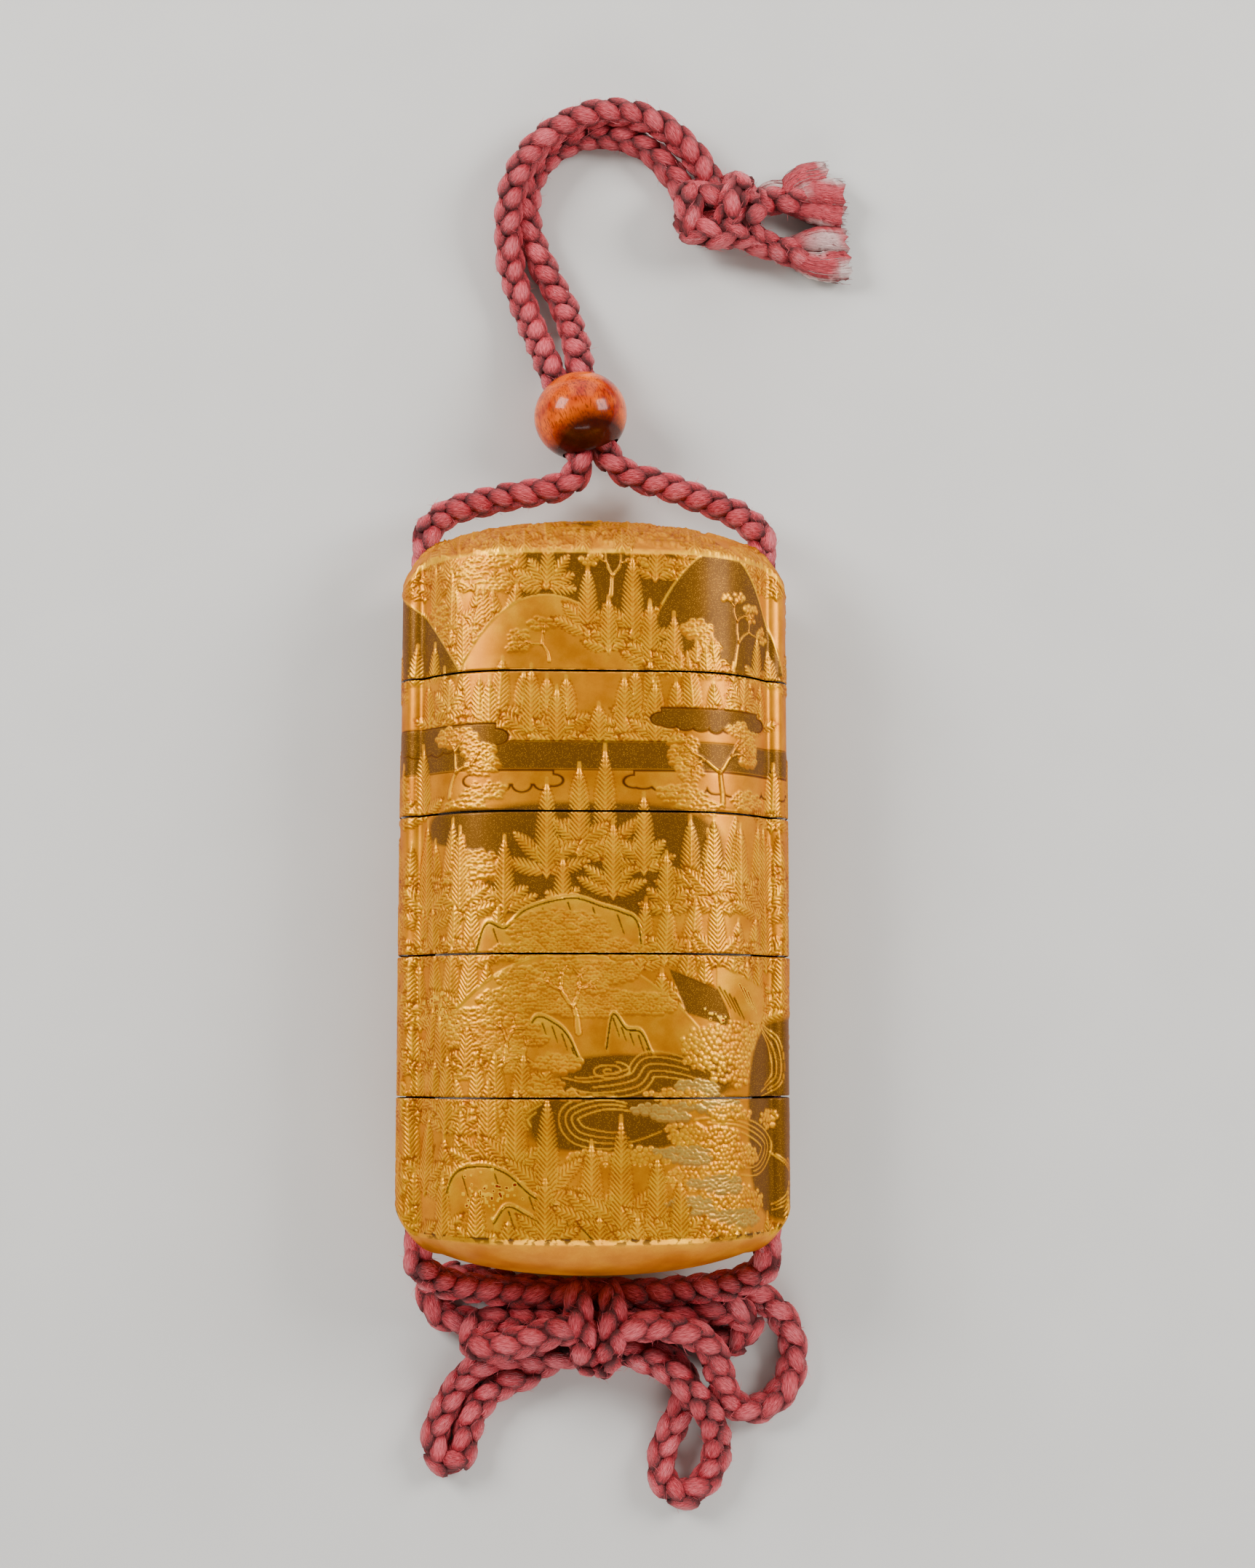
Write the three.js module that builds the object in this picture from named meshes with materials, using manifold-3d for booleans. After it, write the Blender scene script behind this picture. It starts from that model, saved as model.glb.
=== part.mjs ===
// Inro case in five stacked sections, with its braided cord, bead, knot and bow.
// Millimetres. The case lies on its back: +X to its right, +Y towards the lid, +Z up out of its
// front. The origin is under the middle of the case, at the height of what it lies on.
import * as THREE from 'three';
import { mergeVertices } from 'three/addons/utils/BufferGeometryUtils.js';
import Module from 'manifold-3d';

const wasm = await Module();
wasm.setup();

// ---- driving dimensions -------------------------------------------------------------------
const BODY = { width: 50, depth: 25, height: 96.6 };
const CROWN_RISE = 6.05;      // the lid's crown above its front edge
const UNDER_RISE = 4.9;       // the underside below its front edge
const LID_SKIRT = 15.4;       // front height of the lid, seam to edge
const TRAY_PITCH = 17.6;      // front height of each of the three middle trays
const SEAM = 0.3;             // gap between two sections
const RISER = { height: 5.5, thickness: 1.2, clearance: 0.3 };
const FLOOR = 1.2;            // thickness of a tray's floor
const HOLLOW = { x: 18.6, z: 10.9, power: 4 };    // half-axes of the socket that takes a riser
const PANEL = { flat: 5, crease: 22, drop: 7.5, power: 3.4, steps: 8, crowd: 0.8 };    // front, back
const RUNNER = { half: 5, power: 2.8, blend: 0.7, inside: 0.4, steps: 6 };             // sides
const CHANNEL = { x: 22, radius: 2, sides: 16 };  // cord channel through each runner
const SPINE = 19;             // half-length of the ridge line of crown and underside
const EDGE = 0.55;            // rounding of the crown's and the underside's edge
const RIDGE = { square: 0.0055, fourth: 5.5e-6 };  // fall of the ridge line from its middle
const BROW = 0.0008;          // fall of an end's front edge from its middle
const DOME = { power: 2.2, rings: [0.955, 0.86, 0.72, 0.54, 0.3, 0] };  // from the wall in to the ridge
const EDGE_RING = { at: 0.988, share: 0.28 };      // ring half-way round the rounded edge
const LID_ROOF = 2;           // lacquered wood over the hollow, at the height of the front edge
// Steps of the hollow's vault under the crown: rise, then what is taken off each half-axis.
const VAULT = [[0, 0, 0], [1.6, 1.6, 1.9], [3.2, 6, 5]];
const LID_CORNER = { start: 21.2, drop: 2.6, power: 1.5 };
const BASE_CORNER = { start: 21.5, drop: 3.0, power: 2.2 };
const CORD = { diameter: 3.1, sides: 8, step: 7, bowStep: 5.4, gap: 0.3 };
const BEAD = { radius: 6.3, squash: 0.93, centre: [-1.75, 64.9, 6.3], tilt: 0.294 };
const BEAD_HOLE = { width: 7.7, height: 4.1, sides: 7 };
const FRAY = { from: 0.35, steps: 5, sides: 10 };  // where along a cut end it starts to spread
const OVERLAP = 3;            // how far a riser runs down inside its wall

const MID = BODY.depth / 2;
const TOP = BODY.height / 2;
const LID_EDGE = TOP - CROWN_RISE;
const BASE_EDGE = -TOP + UNDER_RISE;
const SEAMS = [0, 1, 2, 3].map((i) => LID_EDGE - LID_SKIRT - i * TRAY_PITCH);

// ---- materials ----------------------------------------------------------------------------
const lacquer = (color) => new THREE.MeshStandardMaterial({ color, roughness: 0.32, metalness: 0.75 });
const GOLD = lacquer(0xcf9126);
const WOOD = new THREE.MeshStandardMaterial({ color: 0xb04c08, roughness: 0.15, metalness: 0 });
const SILK = new THREE.MeshStandardMaterial({ color: 0xa84a55, roughness: 0.7, metalness: 0 });

// ---- closed meshes and booleans -----------------------------------------------------------
function toManifold(geometry) {
  const bare = geometry.index ? geometry.clone() : geometry;
  bare.deleteAttribute('normal');
  bare.deleteAttribute('uv');
  const merged = mergeVertices(bare, 1e-4);
  return new wasm.Manifold(new wasm.Mesh({
    numProp: 3,
    vertProperties: new Float32Array(merged.attributes.position.array),
    triVerts: new Uint32Array(merged.index.array),
  }));
}

function toGeometry(solid) {
  const mesh = solid.getMesh();
  const geometry = new THREE.BufferGeometry();
  geometry.setAttribute('position', new THREE.BufferAttribute(new Float32Array(mesh.vertProperties), 3));
  geometry.setIndex(new THREE.BufferAttribute(new Uint32Array(mesh.triVerts), 1));
  geometry.computeVertexNormals();
  return geometry;
}

function signedVolume(points, triangles) {
  let total = 0;
  const cross = new THREE.Vector3();
  for (const [a, b, c] of triangles) {
    total += points[a].dot(cross.crossVectors(points[b], points[c]));
  }
  return total / 6;
}

// A closed skin over rings of equal count. Each end is a flat fan, unless the last ring has
// collapsed on to a line, where the two sides meet of themselves.
function loft(rings, closesOnLine = false) {
  const count = rings[0].length;
  const points = rings.flat();
  const triangles = [];
  const at = (ring, i) => ring * count + (i % count);
  for (let r = 0; r + 1 < rings.length; r++) {
    for (let i = 0; i < count; i++) {
      triangles.push([at(r, i), at(r, i + 1), at(r + 1, i + 1)]);
      triangles.push([at(r, i), at(r + 1, i + 1), at(r + 1, i)]);
    }
  }
  const fan = (ring, flip) => {
    const centre = new THREE.Vector3();
    rings[ring].forEach((p) => centre.addScaledVector(p, 1 / count));
    points.push(centre);
    const hub = points.length - 1;
    for (let i = 0; i < count; i++) {
      triangles.push(flip ? [hub, at(ring, i + 1), at(ring, i)] : [hub, at(ring, i), at(ring, i + 1)]);
    }
  };
  fan(0, true);
  if (!closesOnLine) fan(rings.length - 1, false);
  const same = (a, b) => points[a].distanceToSquared(points[b]) < 1e-9;
  const kept = triangles.filter(([a, b, c]) => !same(a, b) && !same(b, c) && !same(a, c));
  if (signedVolume(points, kept) < 0) kept.forEach((t) => t.reverse());
  const geometry = new THREE.BufferGeometry();
  geometry.setAttribute('position', new THREE.Float32BufferAttribute(points.flatMap((p) => p.toArray()), 3));
  geometry.setIndex(kept.flat());
  return toManifold(geometry);
}

// ---- the section of the case --------------------------------------------------------------
// Half-depth of the case at a distance x from its middle: a convex panel that falls to a soft
// crease, then the runner.
function halfDepth(x) {
  const t = Math.max(0, (x - PANEL.flat) / (PANEL.crease - PANEL.flat));
  const panel = MID - PANEL.drop * t ** PANEL.power;
  const reach = Math.max(0, (x - PANEL.crease) / (BODY.width / 2 - PANEL.crease));
  const runner = RUNNER.half * Math.max(0, 1 - reach ** RUNNER.power) ** (1 / RUNNER.power);
  const overlap = Math.max(0, RUNNER.blend - Math.abs(panel - runner));
  return Math.max(panel, runner) + overlap ** 2 / (4 * RUNNER.blend);
}

// Quarter of the outline as [x, half-depth], from the middle of the front to the middle of a side.
function quarterOutline() {
  const points = [[0, halfDepth(0)]];
  const panel = PANEL.crease - RUNNER.inside - PANEL.flat;
  for (let i = 0; i <= PANEL.steps; i++) {
    const x = PANEL.flat + panel * (i / PANEL.steps) ** PANEL.crowd;
    points.push([x, halfDepth(x)]);
  }
  for (let i = 1; i <= RUNNER.steps; i++) {
    const angle = (i / RUNNER.steps) * (Math.PI / 2);
    const reach = Math.sin(angle) ** (2 / RUNNER.power);
    const x = PANEL.crease + (BODY.width / 2 - PANEL.crease) * reach;
    points.push([x, i === RUNNER.steps ? 0 : halfDepth(x)]);
  }
  return points;
}

const QUARTER = quarterOutline();

// The whole outline as [x, z from the middle], once round.
function caseOutline() {
  const right = QUARTER.slice(0, -1);
  const ring = [];
  ring.push(...right.map(([x, z]) => [x, z]));
  ring.push([BODY.width / 2, 0]);
  ring.push(...right.slice(1).reverse().map(([x, z]) => [x, -z]));
  ring.push([0, -QUARTER[0][1]]);
  ring.push(...right.slice(1).map(([x, z]) => [-x, -z]));
  ring.push([-BODY.width / 2, 0]);
  ring.push(...right.slice(1).reverse().map(([x, z]) => [-x, z]));
  return ring;
}

const OUTLINE = caseOutline();

const cornerDrop = (x, corner) => {
  const u = Math.max(0, (Math.abs(x) - corner.start) / (BODY.width / 2 - corner.start));
  return BROW * x * x + corner.drop * u ** corner.power;
};
const ridgeDrop = (x) => RIDGE.square * x * x + RIDGE.fourth * x ** 4;

// Rings of a domed end, from the wall's top ring to the ridge line. side is 1 for the crown and
// -1 for the underside.
function domeRings(side, edge, rise, corner) {
  const ringAt = (lambda, lift) => OUTLINE.map(([x, z]) => {
    const spine = THREE.MathUtils.clamp(x, -SPINE, SPINE);
    const low = edge * side - cornerDrop(x, corner);
    const high = edge * side + rise - ridgeDrop(spine);
    const y = low + (high - low) * (1 - lambda ** DOME.power) + lift;
    return new THREE.Vector3(spine + lambda * (x - spine), side * y, MID + lambda * z);
  });
  const rounded = [ringAt(1, -EDGE), ringAt(EDGE_RING.at, -EDGE * EDGE_RING.share)];
  return [...rounded, ...DOME.rings.map((lambda) => ringAt(lambda, 0))];
}

const flatRing = (y) => OUTLINE.map(([x, z]) => new THREE.Vector3(x, y, MID + z));

// A ring of the hollow: a rounded oblong with half-axes ax and az.
function oblongRing(y, ax, az, sides = 40) {
  return Array.from({ length: sides }, (_, i) => {
    const angle = (i / sides) * Math.PI * 2;
    const power = 2 / HOLLOW.power;
    const c = Math.cos(angle);
    const s = Math.sin(angle);
    return new THREE.Vector3(
      ax * Math.sign(c) * Math.abs(c) ** power, y, MID + az * Math.sign(s) * Math.abs(s) ** power);
  });
}
const oblong = (y0, y1, inset) => loft([
  oblongRing(y0, HOLLOW.x - inset, HOLLOW.z - inset), oblongRing(y1, HOLLOW.x - inset, HOLLOW.z - inset)]);

// The pair of cord channels, long enough to cut any section.
function cutChannels(solid) {
  let result = solid;
  for (const side of [-1, 1]) {
    const { radius, sides } = CHANNEL;
    const drill = new THREE.CylinderGeometry(radius, radius, BODY.height * 1.2, sides);
    drill.translate(side * CHANNEL.x, 0, MID);
    result = result.subtract(toManifold(drill));
  }
  return result;
}

// ---- sections -----------------------------------------------------------------------------
function buildLid() {
  const low = SEAMS[0] + SEAM / 2;
  const outer = loft([flatRing(low), ...domeRings(1, LID_EDGE, CROWN_RISE, LID_CORNER)], true);
  const hollow = loft([
    oblongRing(low - 1, HOLLOW.x, HOLLOW.z),
    ...VAULT.map(([up, dx, dz]) => oblongRing(LID_EDGE - LID_ROOF + up, HOLLOW.x - dx, HOLLOW.z - dz)),
  ]);
  return cutChannels(outer.subtract(hollow));
}

// The riser of a tray and the hollow inside it, from the tray's floor to the riser's top.
function addRiser(shell, top, floorTop) {
  const lip = oblong(top - OVERLAP, top + RISER.height, RISER.clearance);
  const hollow = oblong(floorTop, top + RISER.height + 1, RISER.clearance + RISER.thickness);
  return shell.add(lip).subtract(hollow);
}

function buildTray(index) {
  const top = SEAMS[index] - SEAM / 2;
  const low = SEAMS[index + 1] + SEAM / 2;
  const socketTop = low + RISER.height + RISER.clearance;
  const shell = loft([flatRing(low), flatRing(top)]).subtract(oblong(low - 1, socketTop, 0));
  return cutChannels(addRiser(shell, top, socketTop + FLOOR));
}

function buildBottomTray() {
  const top = SEAMS[3] - SEAM / 2;
  const outer = loft([flatRing(top), ...domeRings(-1, BASE_EDGE, UNDER_RISE, BASE_CORNER)], true);
  return cutChannels(addRiser(outer, top, BASE_EDGE + FLOOR));
}

// ---- bead ---------------------------------------------------------------------------------
function buildBead() {
  const steps = 14;
  const profile = Array.from({ length: steps + 1 }, (_, i) => {
    const angle = -Math.PI / 2 + (i / steps) * Math.PI;
    const onAxis = i === 0 || i === steps;
    return new THREE.Vector2(onAxis ? 0 : BEAD.radius * Math.cos(angle),
      BEAD.radius * BEAD.squash * Math.sin(angle));
  });
  const ball = toManifold(new THREE.LatheGeometry(profile, 32));
  const half = (BEAD_HOLE.width - BEAD_HOLE.height) / 2;
  const slot = new THREE.Shape();
  slot.absarc(half, 0, BEAD_HOLE.height / 2, -Math.PI / 2, Math.PI / 2, false);
  slot.absarc(-half, 0, BEAD_HOLE.height / 2, Math.PI / 2, Math.PI * 1.5, false);
  const depth = BEAD.radius * 3;
  const extrusion = { depth, bevelEnabled: false, curveSegments: BEAD_HOLE.sides };
  const cutter = new THREE.ExtrudeGeometry(slot, extrusion);
  cutter.translate(0, 0, -depth / 2);
  cutter.rotateX(-Math.PI / 2);
  const geometry = toGeometry(ball.subtract(toManifold(cutter)));
  geometry.rotateZ(BEAD.tilt);
  geometry.translate(...BEAD.centre);
  return geometry;
}

// ---- cord ---------------------------------------------------------------------------------
const ROUTES = {
  cord_upper_left: [
    [-22, 44.6, 12.5], [-21.9, 47.1, 12.2], [-19.2, 50.4, 10], [-13, 53, 7.5],
    [-7.4, 54.4, 6.2], [-3.2, 55.8, 6], [-1.8, 58.6, 6.2], [-2.6, 61.8, 6.3], [-3.5, 64.7, 6.3],
    [-4.4, 67.6, 6.3], [-5.5, 70.5, 6.2], [-7, 74.6, 4.4], [-9.2, 80.4, 2.4], [-11.2, 86.6, 2.6],
    [-11.7, 92.6, 4.2], [-10.8, 98.2, 4.9], [-8, 103.4, 4.8], [-3, 107.2, 4.6], [3.6, 108.7, 4.4],
    [9.8, 106.8, 3.9], [14.4, 102.6, 3], [17.2, 98, 2.6]],
  cord_upper_right: [
    [22, 44.6, 12.5], [21.9, 47, 12.2], [19.6, 50.1, 10.2], [14.6, 53, 7.8], [9.3, 55.4, 6.4],
    [4.6, 57, 6], [1.9, 59.6, 6.2], [0.9, 62.8, 6.3], [0, 65.7, 6.3], [-0.9, 68.7, 6.3],
    [-1.7, 71.6, 6.1], [-2.4, 75.8, 4.2], [-4, 81.6, 2], [-6.9, 87.4, 1.75], [-9, 93.4, 1.75],
    [-8.8, 99, 1.75], [-6.2, 103.4, 1.75], [-1.8, 106, 1.75], [3.2, 106.3, 1.75],
    [7.6, 104.5, 1.75], [11.1, 100.9, 1.75], [13.6, 97.1, 1.75]],
  cord_lower_left: [
    [-22, -44.6, 12.5], [-22, -46.9, 12.3], [-18.9, -49.4, 9.6], [-12.8, -50.7, 6.9],
    [-7.8, -51.3, 5.7], [-4.2, -51.4, 5.4]],
  cord_lower_right: [
    [22, -44.6, 12.5], [22, -46.9, 12.3], [19, -49.4, 9.8], [13.4, -50.6, 7.2],
    [8.6, -51.3, 5.8], [4.9, -51.4, 5.4]],
  bow_right_ring: [
    [4.9, -51.6, 1.75], [9, -51.9, 1.75], [13.6, -51.6, 1.75], [18.2, -51, 1.75],
    [22.4, -52.4, 1.75], [25.6, -55.8, 1.75], [26.5, -60.2, 1.75], [24.8, -64.6, 1.75],
    [21.2, -66.6, 1.75], [18, -65.4, 2.2], [16.6, -62, 4.6], [14.8, -57.6, 7.6],
    [10.6, -55.4, 9], [4.9, -55.2, 9.05]],
  bow_right_fold: [
    [4.9, -55.2, 5.4], [9, -54.7, 5.4], [13.6, -53.9, 5.4], [17.4, -53.4, 5.2],
    [20.2, -55, 4.2], [19.4, -57.4, 3], [16.6, -57.6, 2], [13, -56.6, 1.75],
    [9, -55.7, 1.75], [4.9, -55.3, 1.75]],
  bow_right_drop: [
    [4.9, -58.9, 5.4], [9, -60.5, 5.4], [12.8, -63.6, 5.4], [15.6, -67.6, 4], [16.4, -71.6, 2.2],
    [15.2, -75.2, 1.75], [12.3, -77.2, 1.75], [9.5, -75.6, 1.75], [9.3, -72.2, 1.75],
    [10.8, -68.6, 1.75], [12.3, -65, 1.75], [11.6, -61.4, 1.75], [8.4, -59.4, 1.75],
    [4.9, -59, 1.75]],
  bow_left_ear: [
    [-4.2, -51.5, 1.75], [-9, -51, 1.75], [-14, -50, 1.75], [-18.4, -49.6, 1.75],
    [-20.9, -51.6, 1.75], [-19.6, -54.2, 1.75], [-16, -55.2, 1.75], [-10, -55.2, 1.75],
    [-4.2, -55.2, 1.75]],
  bow_left_fold: [
    [-4.2, -55.1, 5.4], [-8.6, -54.7, 5.4], [-12.4, -54.6, 5.4], [-15.2, -55.6, 5.5],
    [-15, -57.6, 6.4], [-12, -57.8, 7.6], [-8.4, -56.8, 8.7], [-4.2, -55.6, 9.05]],
  bow_left_drop: [
    [-4.2, -58.9, 5.4], [-8, -59.1, 4.8], [-12, -59.5, 3.2], [-16.2, -62.2, 1.75],
    [-18.9, -66.4, 1.75], [-20.1, -70.2, 1.75], [-19.3, -72.6, 1.75], [-17, -72.6, 1.75],
    [-16.2, -70, 1.75], [-15, -66.6, 1.75], [-12.4, -63.8, 1.75], [-8.6, -62, 1.75],
    [-4.2, -59.6, 1.75]],
};

const CORD_SECTION = new THREE.Shape(Array.from({ length: CORD.sides }, (_, i) => {
  const angle = ((i + 0.5) / CORD.sides) * Math.PI * 2;
  return new THREE.Vector2((CORD.diameter / 2) * Math.cos(angle), (CORD.diameter / 2) * Math.sin(angle));
}));

function cordAlong(route, step) {
  const curve = new THREE.CatmullRomCurve3(route.map((p) => new THREE.Vector3(...p)));
  const steps = Math.round(curve.getLength() / step);
  const shape = { steps, extrudePath: curve, bevelEnabled: false };
  return toManifold(new THREE.ExtrudeGeometry(CORD_SECTION, shape));
}

function ellipsoid([x, y, z], [rx, ry, rz], grow = 0) {
  const geometry = new THREE.SphereGeometry(1, 14, 9);
  geometry.scale(rx + grow, ry + grow, rz + grow);
  geometry.translate(x, y, z);
  return toManifold(geometry);
}

// Each knot is the lumps of cord that show on it, as [centre, half-sizes].
const TOP_KNOT = [
  [[14.9, 94.4, 4.2], [3.6, 4.6, 4.1]],
  [[19.9, 94.5, 4.3], [3.7, 5.5, 4.2]],
];
const BOW_KNOT = [
  [[-1.6, -54.9, 5.3], [3.4, 5.3, 5.2]],
  [[2.2, -55.6, 5.4], [3.4, 5.6, 5.3]],
];
const lumps = (knot, grow = 0) => knot
  .map(([centre, size]) => ellipsoid(centre, size, grow))
  .reduce((sum, lump) => sum.add(lump));

// A cut end: the cord leaves the knot round and spreads out flat where it is frayed.
function cutEnd({ route, wide: spread, thick }) {
  const curve = new THREE.CatmullRomCurve3(route.map((p) => new THREE.Vector3(...p)));
  const rings = Array.from({ length: FRAY.steps + 1 }, (_, i) => {
    const u = i / FRAY.steps;
    const centre = curve.getPointAt(u);
    const along = curve.getTangentAt(u);
    const across = new THREE.Vector3(-along.y, along.x, 0).normalize();
    const up = new THREE.Vector3().crossVectors(along, across).normalize();
    const open = THREE.MathUtils.smoothstep(u, FRAY.from, 1);
    const wide = THREE.MathUtils.lerp(CORD.diameter / 2, spread / 2, open);
    const tall = THREE.MathUtils.lerp(CORD.diameter / 2, thick / 2, open);
    return Array.from({ length: FRAY.sides }, (_, k) => {
      const angle = (k / FRAY.sides) * Math.PI * 2;
      return centre.clone()
        .addScaledVector(across, wide * Math.cos(angle))
        .addScaledVector(up, tall * Math.sin(angle));
    });
  });
  return loft(rings);
}
const CUT_ENDS = {
  cut_end_upper: {
    route: [[22.2, 96.2, 4.2], [26, 97, 3.2], [29.8, 97.3, 2.5], [33.6, 97.6, 2.5]],
    wide: 7.6,
    thick: 4.4,
  },
  cut_end_lower: {
    route: [[21.6, 91.4, 3.4], [25.6, 89.9, 2.4], [29.8, 88.8, 2.2], [34.2, 88, 2.2]],
    wide: 6.6,
    thick: 4.2,
  },
};

// ---- assembly -----------------------------------------------------------------------------
const inro = new THREE.Group();

function place(name, solid, material) {
  const geometry = solid.isBufferGeometry ? solid : toGeometry(solid);
  const mesh = new THREE.Mesh(geometry, material);
  mesh.name = name;
  inro.add(mesh);
}

place('lid', buildLid(), GOLD);
for (const index of [0, 1, 2]) place(`case_${index + 1}`, buildTray(index), GOLD);
place('case_4', buildBottomTray(), GOLD);
place('bead', buildBead(), WOOD);

place('top_knot', lumps(TOP_KNOT), SILK);
place('bow_knot', lumps(BOW_KNOT), SILK);
const knotRoom = lumps(TOP_KNOT, CORD.gap).add(lumps(BOW_KNOT, CORD.gap));
for (const [name, route] of Object.entries(ROUTES)) {
  const step = name.startsWith('cord_upper') ? CORD.step : CORD.bowStep;
  place(name, cordAlong(route, step).subtract(knotRoom), SILK);
}
const mouths = { high: ROUTES.cord_upper_left[0][1], low: ROUTES.cord_lower_left[0][1] };
for (const [name, side] of [['cord_in_left_channel', -1], ['cord_in_right_channel', 1]]) {
  const ends = [mouths.low + CORD.gap, mouths.high - CORD.gap];
  const path = new THREE.LineCurve3(...ends.map((y) => new THREE.Vector3(side * CHANNEL.x, y, MID)));
  const shape = { steps: 1, extrudePath: path, bevelEnabled: false };
  place(name, toManifold(new THREE.ExtrudeGeometry(CORD_SECTION, shape)), SILK);
}
for (const [name, end] of Object.entries(CUT_ENDS)) place(name, cutEnd(end).subtract(knotRoom), SILK);

export default inro;
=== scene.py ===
"""Inro case in gold lacquer, with its braided silk cord, bead, top knot and bow.

Lengths are worked out in millimetres and become metres where a mesh is made.
"""

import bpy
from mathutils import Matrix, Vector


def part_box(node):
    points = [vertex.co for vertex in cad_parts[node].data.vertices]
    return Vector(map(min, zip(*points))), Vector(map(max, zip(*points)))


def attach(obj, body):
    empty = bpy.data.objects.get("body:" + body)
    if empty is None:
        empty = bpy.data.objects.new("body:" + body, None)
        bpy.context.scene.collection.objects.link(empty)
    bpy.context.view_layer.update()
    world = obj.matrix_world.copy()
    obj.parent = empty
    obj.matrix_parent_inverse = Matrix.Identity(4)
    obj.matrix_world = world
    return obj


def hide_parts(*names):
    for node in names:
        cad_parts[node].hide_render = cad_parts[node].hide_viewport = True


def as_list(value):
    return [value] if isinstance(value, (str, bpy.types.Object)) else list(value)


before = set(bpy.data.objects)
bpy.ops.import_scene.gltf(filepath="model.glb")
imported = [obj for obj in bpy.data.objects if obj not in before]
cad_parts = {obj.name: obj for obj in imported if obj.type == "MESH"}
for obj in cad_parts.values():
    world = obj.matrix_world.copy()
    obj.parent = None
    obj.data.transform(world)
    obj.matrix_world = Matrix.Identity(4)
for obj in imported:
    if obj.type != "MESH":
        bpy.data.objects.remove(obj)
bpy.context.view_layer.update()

import logging
import math
from dataclasses import dataclass, field
from enum import Enum
from typing import Any, Callable, Sequence

import bpy
import numpy as np
from bpy.types import Material, Node, NodeSocket, NodeTree, Object
from mathutils import Matrix, Vector

log = logging.getLogger("inro")
MM = 0.001
FULL = 2 * math.pi
CROWN_RISE = 6.05
UNDER_RISE = 4.9
RISER = 5.5
CHANNEL_X = 22.0
SIDE_X = 25.0
Array = np.ndarray
Route = Sequence[Sequence[float]]


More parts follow.
